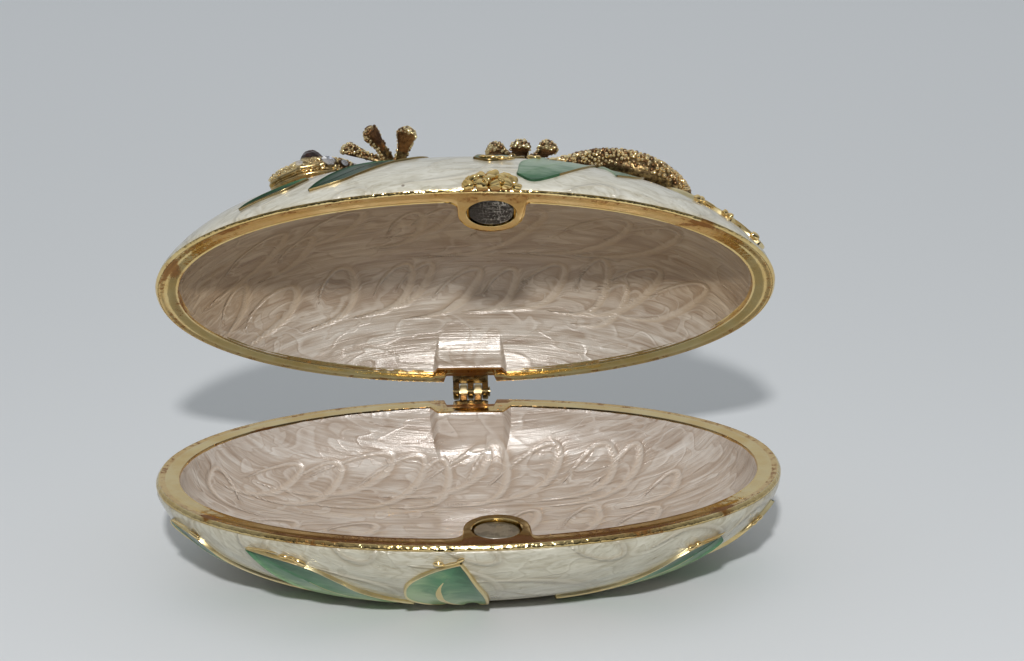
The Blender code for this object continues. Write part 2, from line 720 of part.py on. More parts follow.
def stone(name, finish):
    """A round stone with a faceted crown."""
    radius = STONES[name][-1]
    gem = ball_tool(stone_middle(name), radius * MM, **stone_facets(radius))
    dress(gem, name, finish)
    return gem


def put_on_lid(pieces):
    """Hang the lid's pieces on an empty at the hinge, and turn it to the open angle."""
    pivot = bpy.data.objects.new("lid_pivot", None)
    parts.objects.link(pivot)
    pivot.location = (0, HINGE_Y, BASE_HEIGHT + HINGE_ABOVE_RIM)
    pivot.rotation_euler = (-LID_OPEN, 0, 0)
    for piece in pieces:
        piece.parent = pivot
        piece.location = (0, -HINGE_Y, HINGE_ABOVE_RIM)


for old in list(bpy.data.objects):
    bpy.data.objects.remove(old)

parts = bpy.data.collections.new("jewelled_trinket_box")
bpy.context.scene.collection.children.link(parts)

gold = material("gold plate", (0.78, 0.57, 0.25), 0.25, 1.0)
cream_enamel = material("cream pearl enamel", (0.74, 0.74, 0.66), 0.2, 0.0)
blush_enamel = material("blush pearl enamel", (0.72, 0.69, 0.62), 0.2, 0.0)
bright_magnet = material("grey magnet", (0.48, 0.46, 0.42), 0.35, 1.0)
dark_magnet = material("dark magnet", (0.10, 0.09, 0.08), 0.4, 1.0)
hinge_brass = material("hinge brass", (0.70, 0.52, 0.26), 0.3, 1.0)
pin_brass = material("pin brass", (0.62, 0.48, 0.26), 0.3, 1.0)
antique_gold = material("antique gold", (0.62, 0.47, 0.22), 0.35, 1.0)
red_glass = material("dark red glass", (0.20, 0.05, 0.03), 0.08, 0.0)
crystal = material("clear crystal", (0.90, 0.90, 0.92), 0.05, 0.0)

base_bowl = shell("base_bowl", BASE_OUTER, BASE_INNER, BASE_HEIGHT, -1, cream_enamel)
add_leaves(base_bowl, BASE_LEAVES, BASE_OUTER, -1)
base_bowl.location.z = BASE_HEIGHT
smooth(base_bowl)

lid_dome = shell("lid_dome", LID_OUTER, LID_INNER, LID_OUTER["depth"] * 0.995, 1, blush_enamel)
add_leaves(lid_dome, LID_LEAVES, LID_OUTER, 1)
smooth(lid_dome)

magnet("base_magnet", BASE_HEIGHT, -1, bright_magnet)
lid_magnet = magnet("lid_magnet", 0.0, 1, dark_magnet)

knuckle_places = [side * (EAR_WIDTH + KNUCKLE_WIDTH + 2 * KNUCKLE_GAP) / 2 for side in (-1, 1)]
ear_places = [side * (EAR_WIDTH + KNUCKLE_WIDTH + 2 * KNUCKLE_GAP) for side in (-1, 0, 1)]
base_leaf = hinge_leaf("base_hinge_leaf", KNUCKLE_WIDTH, knuckle_places, -1, hinge_brass)
base_leaf.location.z = BASE_HEIGHT
lid_leaf = hinge_leaf("lid_hinge_leaf", EAR_WIDTH, ear_places, 1, hinge_brass)
hinge_pin("hinge_pin", pin_brass)

thumb = thumb_piece("thumb_piece", gold)
animal = lizard("lizard", antique_gold)
stones = [stone(name, red_glass if name.startswith("eye") else crystal) for name in STONES]

put_on_lid([lid_dome, lid_magnet, lid_leaf, thumb, animal, *stones])

for piece in parts.objects:
    if piece.type == "MESH":
        triangles = sum(len(face.vertices) - 2 for face in piece.data.polygons)
        print(f"{piece.name}: {triangles} triangles")
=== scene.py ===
# %% [markdown]
# # An enamelled trinket box, standing open
#
# The real box is two oval shells of cast, gold-plated metal on a small hinge. Pearl enamel fills
# the shells inside and out, raised leaves and a granulated lizard decorate it, and two magnets
# close it. The solids of the box come in as a fixed frame; this lesson dresses them. Each new
# piece is a surface worked out with numpy, in millimetres and with the lid shut, then turned to
# where the open lid holds it.

import json
import math

import bmesh
import bpy
import numpy as np
from mathutils import Matrix, Vector

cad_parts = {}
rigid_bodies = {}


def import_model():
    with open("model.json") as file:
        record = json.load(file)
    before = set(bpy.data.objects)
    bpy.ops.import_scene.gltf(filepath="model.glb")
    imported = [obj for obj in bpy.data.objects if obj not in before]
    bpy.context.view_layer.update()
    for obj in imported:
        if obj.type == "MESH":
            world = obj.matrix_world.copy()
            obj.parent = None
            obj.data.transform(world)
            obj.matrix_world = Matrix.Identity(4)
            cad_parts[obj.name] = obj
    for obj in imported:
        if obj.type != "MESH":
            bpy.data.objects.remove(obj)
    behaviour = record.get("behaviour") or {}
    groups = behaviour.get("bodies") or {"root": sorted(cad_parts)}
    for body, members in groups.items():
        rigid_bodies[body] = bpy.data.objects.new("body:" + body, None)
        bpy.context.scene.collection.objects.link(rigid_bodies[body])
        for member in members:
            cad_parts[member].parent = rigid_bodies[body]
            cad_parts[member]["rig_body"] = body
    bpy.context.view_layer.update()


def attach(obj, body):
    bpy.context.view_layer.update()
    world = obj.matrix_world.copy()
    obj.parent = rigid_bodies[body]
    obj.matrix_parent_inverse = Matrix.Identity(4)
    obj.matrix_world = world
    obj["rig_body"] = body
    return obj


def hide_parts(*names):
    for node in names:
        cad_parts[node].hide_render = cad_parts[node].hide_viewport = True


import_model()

# %% [markdown]
# ## The sizes of the box
#
# The shells follow one family of curves: an oval outline, a touch fuller than an ellipse, and
# domes whose height falls as the outline grows. Keeping those few numbers in one place lets every
# later piece lie exactly on the shells.

# %% Shared sizes, in millimetres
MM = 0.001
HALF_LENGTH, HALF_WIDTH, OUTLINE_POWER = 50.0, 30.5, 2.07
BASE_HEIGHT = 16.1
# The land is the flat gold rim, broader at the ends of the oval by a factor. Below it stands a
# band, and inside it the wall of the cavity starts a little under the rim plane.
LAND_WIDTH, LAND_ENDS = 3.2, 1.2
BAND_HEIGHT = 1.3
EDGE_ROUND = 0.5
WALL_START = 0.9
HINGE_Y = HALF_WIDTH + 2.9
HINGE_RISE = 0.15
LID_OPEN = math.radians(49)
# A dome's depth and the two powers of its profile. Inside, back moves the block before the
# hinge, and spread says how softly the wall meets it.
BASE_OUTER = {"depth": 18.6, "bulge": 2.0, "shoulder": 0.52}
BASE_INNER = {"depth": 13.4, "bulge": 3.0, "shoulder": 0.45, "back": 0.0, "spread": 3.2}
LID_OUTER = {"depth": 17.3, "bulge": 2.6, "shoulder": 0.70}
LID_INNER = {"depth": 15.2, "bulge": 2.7, "shoulder": 0.68, "back": 0.9, "spread": 2.2}
MAGNET = {"x": 4.6, "y": -23.9, "radius": 3.5, "thick": 1.6}
MAGNET |= {"hole": 3.8, "hole_depth": 2.1, "boss": 5.1, "fillet": 1.9}
# The notch behind the hinge leaves and the block in front of them.
NOTCH = {"half": 4.1, "y": HALF_WIDTH - 2.7, "height": 5.6}
BUMP = {"half": 5.4, "y": HALF_WIDTH - 5.7}


def powered(value, power):
    """Signed power: the sign of a value times its size raised to a power."""
    return np.sign(value) * np.abs(value) ** power


def hump(value, middle, width):
    """A bell curve: 1 at the middle, fading over the width, as e ** -(distance / width) ** 2."""
    return np.exp(-(((value - middle) / width) ** 2))


def unit(vectors):
    """Vectors divided by their length; one without length stays zero."""
    size = np.linalg.norm(vectors, axis=-1, keepdims=True)
    return vectors / np.maximum(size, 1e-9)


def full_turn(count):
    """Angles in equal steps once round."""
    return np.linspace(0, 2 * math.pi, count, endpoint=False)


def run_length(points):
    """The length of a line of points up to each of them: the running sum of its steps."""
    return np.concatenate([[0], np.cumsum(np.linalg.norm(np.diff(points, axis=0), axis=1))])


def pairs(first, second):
    """Every value of one list with every value of another, as two long lists."""
    return (grid.ravel() for grid in np.meshgrid(first, second, indexing="ij"))


def outline(angle, inset=0.0):
    """Superellipse: each axis is its half size, less the inset, times cosine or sine ** 2/power.

    The inset counts a little more along x, because the lands are broader at the ends.
    """
    x = (HALF_LENGTH - inset * LAND_ENDS) * powered(np.cos(angle), 2 / OUTLINE_POWER)
    y = (HALF_WIDTH - inset) * powered(np.sin(angle), 2 / OUTLINE_POWER)
    return x, y


def dome_height(rho, dome):
    """Height over the rim plane: depth * (1 - rho ** bulge) ** shoulder."""
    inside = np.clip(1 - np.clip(rho, 0, 1) ** dome["bulge"], 0, 1)
    return dome["depth"] * inside ** dome["shoulder"]


def dome_rho(height, dome):
    """The inverse of dome_height: how far out, from 0 to 1, the dome has a height."""
    level = (np.asarray(height) / dome["depth"]) ** (1 / dome["shoulder"])
    return (1 - level) ** (1 / dome["bulge"])


def plan_rho(x, y):
    """How far a plan point lies out towards the rim: 0 in the middle, 1 on the outline."""
    px = np.abs(x / HALF_LENGTH) ** OUTLINE_POWER
    py = np.abs(y / HALF_WIDTH) ** OUTLINE_POWER
    return (px + py) ** (1 / OUTLINE_POWER)


def in_base(points):
    """Points over the base's rim plane, with height counted down into the bowl, in metres."""
    x, y, height = np.moveaxis(points, -1, 0)
    return np.stack([x, y, BASE_HEIGHT - height], axis=-1) * MM


def in_lid(points):
    """Points over the lid's rim plane, turned about the hinge to where the lid stands open."""
    x, y, height = np.moveaxis(points, -1, 0)
    y, z = y - HINGE_Y, height + HINGE_RISE
    cos, sin = math.cos(LID_OPEN), math.sin(LID_OPEN)
    back = HINGE_Y + y * cos + z * sin
    up = BASE_HEIGHT + HINGE_RISE - y * sin + z * cos
    return np.stack([x, back, up], axis=-1) * MM


print("rim to rim", 2 * HALF_LENGTH, "by", 2 * HALF_WIDTH, "mm")

# %% [markdown]
# ## From arrays to meshes
#
# A surface is a grid of points: rows run along a profile and columns go round. One helper makes
# the quads between them, another puts points, faces and any number per point into a mesh. Columns
# that go all the way round join up, and a row that shrinks to one point is welded, so that no seam
# stays open.


# %% Mesh helpers
def grid_quads(rows, columns, around=True):
    """Corners of every quad of a grid: a point, the next in its row, and the two above them."""
    row = np.arange(rows - 1)[:, None]
    column = np.arange(columns if around else columns - 1)[None, :]
    here, beside = row * columns + column, row * columns + (column + 1) % columns
    return np.stack([here, beside, beside + columns, here + columns], axis=-1).reshape(-1, 4)


def make_piece(name, points, quads, finishes, body, stands_for=(), slot=None, **extra):
    """A mesh object of points in metres and quads, riding on a body.

    extra may hold `choice`, a finish number per face, `notes`, arrays kept with the points, and
    `sharp`, the angle in degrees past which an edge stays crisp.
    """
    mesh = bpy.data.meshes.new(name)
    points = np.ascontiguousarray(points.reshape(-1, 3), dtype=np.float32)
    mesh.vertices.add(len(points))
    mesh.vertices.foreach_set("co", points.ravel())
    mesh.loops.add(quads.size)
    mesh.loops.foreach_set("vertex_index", quads.ravel().astype(np.int32))
    mesh.polygons.add(len(quads))
    mesh.polygons.foreach_set("loop_start", np.arange(0, quads.size, 4, dtype=np.int32))
    if "choice" in extra:
        mesh.polygons.foreach_set("material_index", extra["choice"].astype(np.int32))
    mesh.update(calc_edges=True)
    for note, values in extra.get("notes", {}).items():
        kind = "FLOAT_VECTOR" if values.shape[-1] == 3 and values.ndim > 1 else "FLOAT"
        field = mesh.attributes.new(note, kind, "POINT")
        word = "vector" if kind == "FLOAT_VECTOR" else "value"
        field.data.foreach_set(word, values.astype(np.float32).ravel())
    weld(mesh)
    mesh.shade_smooth()
    if "sharp" in extra:
        mesh.set_sharp_from_angle(angle=math.radians(extra["sharp"]))
    piece = bpy.data.objects.new(name, mesh)
    bpy.context.scene.collection.objects.link(piece)
    for finish in finishes:
        mesh.materials.append(finish.material)
    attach(piece, body)
    if stands_for:
        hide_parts(*stands_for)
    triangles = sum(len(face.vertices) - 2 for face in mesh.polygons)
    print(f"{name}: {len(mesh.vertices)} points, {triangles} triangles")
    return piece


def through(stations, place):
    """Catmull-Rom: each piece between two stations also leans on the stations beside them."""
    table = np.array(stations, dtype=float)
    padded = np.vstack([2 * table[0] - table[1], table, 2 * table[-1] - table[-2]])
    piece = np.clip(place.astype(int), 0, len(table) - 2)
    t = (place - piece)[:, None]
    a, b, c, d = (padded[piece + k] for k in range(4))
    bend = (2 * a - 5 * b + 4 * c - d) * t**2 + (3 * b - 3 * c + d - a) * t**3
    return 0.5 * (2 * b + (c - a) * t + bend)


def weld(mesh, distance=1e-7):
    """Merge points that coincide and drop the faces that this leaves without area."""
    work = bmesh.new()
    work.from_mesh(mesh)
    bmesh.ops.remove_doubles(work, verts=work.verts, dist=distance)
    bmesh.ops.dissolve_degenerate(work, edges=work.edges, dist=distance)
    bmesh.ops.recalc_face_normals(work, faces=work.faces)
    work.to_mesh(mesh)
    work.free()


def stacked(grids, around):
    """Several equal grids as one set of points and quads: each grid's numbers follow the last's."""
    count, rows, columns = grids.shape[:3]
    one = grid_quads(rows, columns, around)
    shift = np.arange(count)[:, None, None] * rows * columns
    return grids.reshape(-1, 3), (one[None] + shift).reshape(-1, 4)


def grid_normals(points):
    """Unit normals of a grid whose columns go round: the cross product of its two steps."""
    along = np.gradient(points, axis=0)
    around = np.roll(points, -1, axis=1) - np.roll(points, 1, axis=1)
    return unit(np.cross(around, along))


print("mesh helpers ready")

# %% [markdown]
# ## Shader arithmetic
#
# A finish is a small program. Writing it as Python expressions keeps it readable, so a wire of a
# node tree is wrapped in a class whose operators add Math nodes. A second class holds a material
# and makes its other nodes. Colours that don't change over the surface are mixed in Python.


# %% Wires and finishes
class Wire:
    """The output of a shader node, with arithmetic that adds Math nodes."""

    def __init__(self, finish, socket):
        self.finish, self.socket = finish, socket

    def math(self, operation, *values):
        """A Math node of an operation, its values numbers or wires."""
        settings = {"operation": operation}
        return self.finish.node("Math", settings, {i: v for i, v in enumerate(values)})

    def __add__(self, other):
        return self.math("ADD", self, other)

    def __sub__(self, other):
        return self.math("SUBTRACT", self, other)

    def __rsub__(self, other):
        return self.math("SUBTRACT", other, self)

    def __mul__(self, other):
        return self.math("MULTIPLY", self, other)

    __radd__ = __add__
    __rmul__ = __mul__

    def ramp(self, low, high):
        """0 below low, 1 above high, smooth between."""
        settings = {"interpolation_type": "SMOOTHSTEP"}
        return self.finish.node("MapRange", settings, {0: self, 1: low, 2: high})


class Finish:
    """A material: one Principled shader and the nodes that feed it."""

    def __init__(self, name, **constants):
        self.material = bpy.data.materials.new(name)
        self.material.use_nodes = True
        self.tree = self.material.node_tree
        self.shader = self.tree.nodes["Principled BSDF"]
        for socket, value in constants.items():
            self.feed(socket.replace("_", " "), value)

    def feed(self, socket, value):
        """Set a socket of the shader, or link a wire to it."""
        self.connect(self.shader.inputs[socket], value)

    def connect(self, socket, value):
        """Link a wire to any socket, or set the socket to a number or a colour."""
        if isinstance(value, Wire):
            self.tree.links.new(value.socket, socket)
        elif isinstance(value, tuple) and socket.type == "RGBA":
            socket.default_value = (*value[:3], 1.0)
        else:
            socket.default_value = value

    def node(self, kind, settings, values, output=0):
        """Any node: its settings first, then its sockets by name or number."""
        made = self.tree.nodes.new("ShaderNode" + kind)
        for key, value in settings.items():
            if key == "stops":
                ramp = made.color_ramp
                for place, _ in value[2:]:
                    ramp.elements.new(place)
                for element, (place, color) in zip(ramp.elements, sorted(value)):
                    element.position, element.color = place, (*color, 1.0)
            else:
                setattr(made, key, value)
        for key, value in values.items():
            self.connect(made.inputs[key], value)
        return Wire(self, made.outputs[output])

    def place(self):
        """The piece's own coordinates."""
        return self.node("TexCoord", {}, {}, "Object")

    def note(self, name, output="Fac"):
        """A number or vector kept with the points."""
        return self.node("Attribute", {"attribute_name": name}, {}, output)

    def noise(self, vector, scale, detail=3.0, roughness=0.5, twist=0.0):
        """Soft noise round 0.5, its grains 1 / scale wide; twist makes its lines curl."""
        values = {"Vector": vector, "Scale": scale, "Detail": detail}
        values |= {"Roughness": roughness, "Distortion": twist}
        return self.node("TexNoise", {}, values)

    def streaks(self, vector, scales, *shape):
        """Noise of a vector that is scaled axis by axis first, which draws its grains out."""
        drawn = self.node("Mapping", {}, {"Vector": vector, "Scale": scales})
        return self.noise(drawn, 1.0, *shape)

    def cells(self, vector, scale, feature="F1", output="Distance"):
        """Voronoi cells: by default the distance to the nearest cell's middle."""
        values = {"Vector": vector, "Scale": scale}
        return self.node("TexVoronoi", {"feature": feature}, values, output)

    def colors(self, mask, stops):
        """A ramp of colours, its stops as (place, colour)."""
        return self.node("ValToRGB", {"stops": stops}, {"Fac": mask})

    def blend(self, mask, low, high, how="MIX"):
        """One colour where the mask is 0 and another where it is 1."""
        settings = {"data_type": "RGBA", "blend_type": how}
        return self.node("Mix", settings, {0: mask, 6: low, 7: high}, 2)

    def bump(self, height, size, over=None):
        """Relief of a height from 0 to 1, size in millimetres, laid over other relief."""
        values = {"Height": height, "Distance": size * MM, "Strength": 1.0}
        if over is not None:
            values["Normal"] = over
        return self.node("Bump", {}, values)


def tinted(color, factors):
    """A colour, each of its parts times a factor."""
    return tuple(part * factor for part, factor in zip(color, factors))


def between(low, high, share):
    """The colour a share of the way from one to another."""
    return tuple(a + (b - a) * share for a, b in zip(low, high))


print("shader arithmetic ready")

# %% [markdown]
# ## Polished gold plate
#
# The rims, bands and fittings are one plating: pale gold, mirror-like but hand-polished, so its
# reflections waver a little, with brown tarnish where fingers and dust stay. Two soft noises bend
# the surface and a third, with a hard threshold, lays the tarnish.


# %% Gold
BROWNED, COPPERY = (0.9, 0.8, 0.62), (0.58, 0.34, 0.12)


def gold_finish(name, color, tarnish, roughness, tarnish_share=0.62, wave=0.03):
    """Plating with tarnish where fine flecks and the piece's own `stain` together pass a share.

    `stain` also warms the gold round it, and `edge` roughens the bevels. Besides real tarnish,
    `stain` carries painted shade in the creases between the nuggets and a painted reflection on
    the base's front land and on the land's outer edge. wave is the height in millimetres of the
    slow ripple.
    """
    finish = Finish(name, Metallic=1.0)
    place = finish.place()
    cloud = finish.noise(place, 160.0, 4.0, 0.6)
    small, broad = finish.noise(place, 900.0, 4.0, 0.7), finish.noise(place, 230.0, 6.0, 0.7, 0.6)
    # The `stain` note holds real tarnish and also painted shade and painted reflection; it darkens and
    # warms the gold.
    stain_and_shade = finish.note("stain")
    fleck = small * 0.6 + broad * 0.4 + stain_and_shade * 0.34
    stain = fleck.ramp(tarnish_share, tarnish_share + 0.12)
    warm = finish.blend(cloud.ramp(0.3, 0.7), color, tinted(color, BROWNED))
    warm = finish.blend(stain_and_shade.ramp(0.1, 0.9) * 0.7, warm, COPPERY)
    finish.feed("Base Color", finish.blend(stain * 0.85, warm, tarnish))
    finish.feed("Roughness", roughness + stain * 0.25 + (cloud - 0.5) * 0.12)
    ripple = finish.bump(finish.noise(place, 420.0, 3.0), wave)
    ripple = finish.bump(finish.noise(place, 1000.0, 2.0) * finish.note("edge"), 0.2, ripple)
    pits = finish.cells(place, 2600.0).ramp(0.0, 0.18)
    finish.feed("Normal", finish.bump(pits, 0.006, ripple))
    return finish


GOLD_TONE = (0.70, 0.555, 0.28)
TARNISH_TONE = (0.28, 0.11, 0.025)
rim_gold = gold_finish("polished gold rim", GOLD_TONE, TARNISH_TONE, 0.13, 0.66, 0.075)
# The lid's rim is the same plating as the base's, made brighter as painted light.
lit_lid_gold = gold_finish("lid gold painted brighter", (0.88, 0.69, 0.33), (0.36, 0.16, 0.04), 0.13, 0.66, 0.075)
bright_gold = gold_finish("bright gold", (0.90, 0.70, 0.36), TARNISH_TONE, 0.10, 0.72, 0.05)
thumb_gold = gold_finish("thumb gold", (0.80, 0.60, 0.26), TARNISH_TONE, 0.06, 0.70, 0.04)
leaf_gold = gold_finish("leaf edge gold", (0.80, 0.70, 0.43), (0.40, 0.24, 0.10), 0.30, 0.66)
# The lid's leaf walls are the same gold as the base's, darker as painted shade.
shaded_edge_gold = gold_finish("leaf edge gold with painted shade", (0.44, 0.34, 0.17), (0.20, 0.11, 0.04), 0.24, 0.60)
aged_gold = gold_finish("hinge bronze", (0.34, 0.25, 0.12), (0.06, 0.035, 0.015), 0.22, 0.48)
print("gold finishes made")

# %% [markdown]
# ## Pearl enamel
#
# The enamel is lacquer with mica in it. It is poured, combed along the box, then a stylus is drawn
# through it in loops, which leaves smooth ribbons with a soft brown shade on either side.
# Each enamelled piece keeps three things with its points: `flow`, where the lacquer under a point
# came from, `track`, how far the point lies from the stylus's line, counted in half widths of its
# ribbon, and `side`, on which side of the line it lies. Streaks are noise that is stretched along
# x and read at `flow`, so they bend wherever the stylus passed. Between the ribbons run finer
# marbled veins: they are the places where a twisted noise has nearly one value, as contour lines
# on a map are, with a pale painted highlight on their upper side. Each ribbon is painted paler on
# one side of its line than on the other, a painted lit side.


# %% Enamel
SPECK_BROWN, PAINTED_SHADE_BROWN = (0.14, 0.09, 0.05), (0.74, 0.63, 0.49)


def enamel_finish(
    name, tones, ribbon, streaks=1.0, sparkle=0.03, drawn=(0.05, 0.09, 0.3), shaded=None
):
    """Pearl enamel in dark, middle and pale tones, with ribbons of one more colour.

    streaks scales every drawn mark, sparkle is the height of the mica's grain in millimetres, and
    drawn holds the scale along x of the broad and the fine streaks and the twist of the fine
    ones. shaded is the stretch of y over which a brown shade fades out: a painted shadow for the
    lid's upper part, which its own rim keeps from the lamp.
    """
    finish = Finish(name, Coat_Weight=0.45, Coat_Roughness=0.04, Coat_IOR=1.5, IOR=1.8)
    flow, off, side = finish.note("flow", "Vector"), finish.note("track"), finish.note("side")
    broad = finish.streaks(flow, (drawn[0], 0.30, 0.30), 3.0, 0.6, 0.4)
    fine = finish.streaks(flow, (drawn[1], 1.2, 1.2), 4.0, 0.6, drawn[2])
    comb = finish.streaks(flow, (0.07, 3.4, 3.4), 2.0, 0.5)
    shade = broad * 0.45 + fine * 0.55 + (comb - 0.5) * 0.30 * streaks
    body = finish.colors(shade, [(0.30, tones[0]), (0.70, tones[2]), (0.48, tones[1])])
    smooth = 1 - off.ramp(0.7, 1.25)
    shadow = off.ramp(0.85, 1.3) * (1 - off.ramp(1.5, 3.2))
    beside = side.ramp(0.0, 0.5) * off.ramp(0.9, 1.6) * (1 - off.ramp(1.8, 5.0))
    dim = (shadow * 0.42 + beside * broad.ramp(0.40, 0.6) * 0.55) * streaks
    body = finish.blend(dim, body, finish.blend(broad, tones[0], ribbon))
    # Painted light: the ribbon is paler on one side of its line than on the other, as a lit side.
    ribbon_lit_side = finish.blend((side * off).ramp(-0.9, 0.6), ribbon, between(tones[2], ribbon, 0.55))
    body = finish.blend(smooth * 0.85 * streaks, body, ribbon_lit_side)
    curl = finish.streaks(flow, (0.085, 0.20, 0.20), 1.2, 0.4, 1.5)
    vein = curl.ramp(0.455, 0.50) * (1 - curl.ramp(0.50, 0.515)) * (1 - smooth)
    # Painted highlight: a pale band along the upper side of each vein.
    painted_sheen = curl.ramp(0.50, 0.53) * (1 - curl.ramp(0.55, 0.62)) * (1 - smooth)
    body = finish.blend(vein * 0.38 * streaks, body, between(tones[0], ribbon, 0.4))
    body = finish.blend(painted_sheen * 0.35 * streaks, body, tones[2])
    speck = 1 - finish.cells(finish.place(), 80.0).ramp(0.014, 0.028)
    body = finish.blend(speck * 0.8, body, SPECK_BROWN)
    # Painted shadow: the lid's upper part, shaded by its own rim, is multiplied with a brown.
    if shaded:
        across = finish.node("SeparateXYZ", {}, {0: flow}, 1)
        body = finish.blend(1 - across.ramp(*shaded), body, PAINTED_SHADE_BROWN, "MULTIPLY")
    finish.feed("Base Color", body)
    finish.feed("Metallic", fine * 0.14)
    finish.feed("Roughness", 0.22 + broad * 0.16)
    combed = finish.bump(comb * 0.4 + fine * 0.6, 0.18 * streaks)
    crest = curl.ramp(0.44, 0.50) * (1 - curl.ramp(0.50, 0.60))
    swirled = finish.bump(crest, 0.045 * streaks, combed)
    ridge = finish.bump(1 - off.ramp(0.0, 1.9), 0.22 * streaks, swirled)
    mica = finish.noise(finish.place(), 6500.0, 1.0)
    finish.feed("Normal", finish.bump(mica, sparkle, ridge))
    return finish


LINING_TONES = ((0.35, 0.25, 0.18), (0.56, 0.475, 0.40), (0.80, 0.75, 0.69))
# The lid's lining is the same enamel as the base's. Its tones and its ribbon are darker, as painted
# shade.
SHADED_TONES = ((0.28, 0.195, 0.130), (0.47, 0.39, 0.31), (0.71, 0.66, 0.585))
CREAM_TONES = ((0.38, 0.33, 0.22), (0.60, 0.565, 0.455), (0.76, 0.73, 0.635))
CREAM_RIBBON, CLOUDED = (0.42, 0.36, 0.25), (0.11, 0.34, 1.0)
# The base's outside is the same cream enamel as the lid's outside, made darker as painted shade; the
# lid's outside faces the lamp.
SHADED_CREAM_TONES = [tinted(tone, (0.84, 0.83, 0.78)) for tone in CREAM_TONES]
SHADED_CREAM_RIBBON = (0.33, 0.27, 0.17)
base_enamel = enamel_finish("blush pearl enamel", LINING_TONES, (0.62, 0.51, 0.41))
lid_enamel = enamel_finish("pearl enamel with painted shade", SHADED_TONES, (0.54, 0.44, 0.33), shaded=(8.0, 25.0))
cream_enamel = enamel_finish("cream pearl enamel", CREAM_TONES, CREAM_RIBBON, 0.6, 0.006, CLOUDED)
shaded_cream_enamel = enamel_finish("cream pearl enamel with painted shade", SHADED_CREAM_TONES, SHADED_CREAM_RIBBON, 0.8, 0.006, CLOUDED)
print("enamels made")

# %% [markdown]
# ## Rays and limits
#
# Seen from above, a shell is a family of ovals, but three things interrupt them: the boss round
# the magnet, the block in front of the hinge, and the notch behind it. Each is handled the same
# way. Along the ray from the middle to a point, the boss, block or notch allows only a certain
# distance, and the point is pulled in to the smaller of the two, with a smooth minimum so that
# the corner stays rounded.


# %% Limits along rays
def soft_min(a, b, width):
    """The smaller of two lengths, with the corner rounded over a width."""
    share = np.clip(0.5 + 0.5 * (b - a) / width, 0, 1)
    return b + (a - b) * share - width * share * (1 - share)


FREE = 60.0


def clear_of_boss(points):
    """In front, points move along y to the edge of the magnet's boss.

    That edge is the boss's circle, y = magnet's y + sqrt(boss ** 2 - x ** 2) with x counted from
    the magnet, and a quarter circle on either side that rounds the corner between boss and wall.
    Past it the limit grows until it is FREE and counts no more.
    """
    boss, fillet = MAGNET["boss"], MAGNET["fillet"]
    aside = np.abs(points[..., 0] - MAGNET["x"]) - boss
    across = np.minimum(aside + boss, boss)
    circle = -MAGNET["y"] - np.sqrt(boss**2 - across**2)
    turned = fillet - np.clip(aside, 0, fillet)
    corner = np.sqrt(fillet**2 - turned**2) - fillet + HALF_WIDTH - LAND_WIDTH
    beyond = FREE * (np.maximum(aside - fillet, 0) / 0.25) ** 2
    limit = np.where(aside > 0, corner, circle) + beyond
    result = points.copy()
    depth = soft_min(-points[..., 1], limit, 0.4)
    result[..., 1] = np.where((points[..., 1] < 0) & (limit < FREE), -depth, points[..., 1])
    return result


def wall_reach(x, y, half, wall_y, spread=0.35):
    """Along the ray through a point, the length at which it meets a wall across the back.

    Beside the wall's half width the length grows fast, by the square of the distance / spread.
    """
    size = np.maximum(np.hypot(x, y), 1e-9)
    reach = wall_y * size / np.maximum(y, 1e-9)
    aside = np.abs(x) * wall_y / np.maximum(y, 1e-9) - half
    return np.where(y > 0, reach + FREE * np.clip(aside / spread, 0, 9) ** 2, 2 * FREE)


def pulled_in(points, reach, width=0.5):
    """Move points along their rays to the smaller of their own length and a reach."""
    size = np.maximum(np.hypot(points[..., 0], points[..., 1]), 1e-9)
    scale = soft_min(size, reach, width) / size
    scale = np.where(reach > FREE, 1.0, scale)
    result = points.copy()
    result[..., 0] *= scale
    result[..., 1] *= scale
    return result


BOSS_CORNER_Y = -25.6


def crowded_angles(count):
    """Angles round the outline, closer together where boss, block and notch turn sharply.

    The crowding is 1 plus a bell curve at each corner, and the angles share its running sum.
    """
    def angle_of(x, y):
        return math.atan2(y / HALF_WIDTH, x / HALF_LENGTH) % (2 * math.pi)

    corners = []
    for middle, half, y in ((MAGNET["x"], MAGNET["boss"], BOSS_CORNER_Y),
                            (0.0, BUMP["half"], BUMP["y"]), (0.0, NOTCH["half"], NOTCH["y"])):
        corners += [angle_of(middle + side * half, y) for side in (-1, 1)]
    fine = np.linspace(0, 2 * math.pi, 20001)
    crowd = 1 + sum(7 * hump(fine, corner, 0.02) for corner in corners)
    total = np.concatenate([[0], np.cumsum((crowd[1:] + crowd[:-1]) / 2)])
    return np.interp(np.linspace(0, total[-1], count, endpoint=False), total, fine)


ANGLES = crowded_angles(520)


def ring(inset, height, rho=1.0):
    """One oval of points: the outline moved in by an inset, scaled by rho, at a height."""
    x, y = outline(ANGLES, inset)
    return np.stack([x * rho, y * rho, np.full(len(ANGLES), float(height))], axis=-1)


def dome_rings(dome, start, stop, count, inset=0.0):
    """Ovals of a dome from one height to another, or to its middle where stop is None.

    Their rho is the cosine of angles in equal steps, so that they lie close where it is steep.
    """
    first, last = (math.acos(float(dome_rho(h, dome))) if h else math.pi / 2 for h in (start, stop))
    return [ring(inset, dome_height(rho, dome), rho) for rho in np.cos(np.linspace(first, last, count))]


def with_inner_limits(rows, dome):
    """Ovals of a shell's inside, kept clear of the boss and of the block before the hinge."""
    x, y, _ = np.moveaxis(rows, -1, 0)
    wall = wall_reach(x, y, BUMP["half"], BUMP["y"] + dome["back"], dome["spread"])
    return pulled_in(clear_of_boss(rows), wall, dome["spread"] - 0.2)


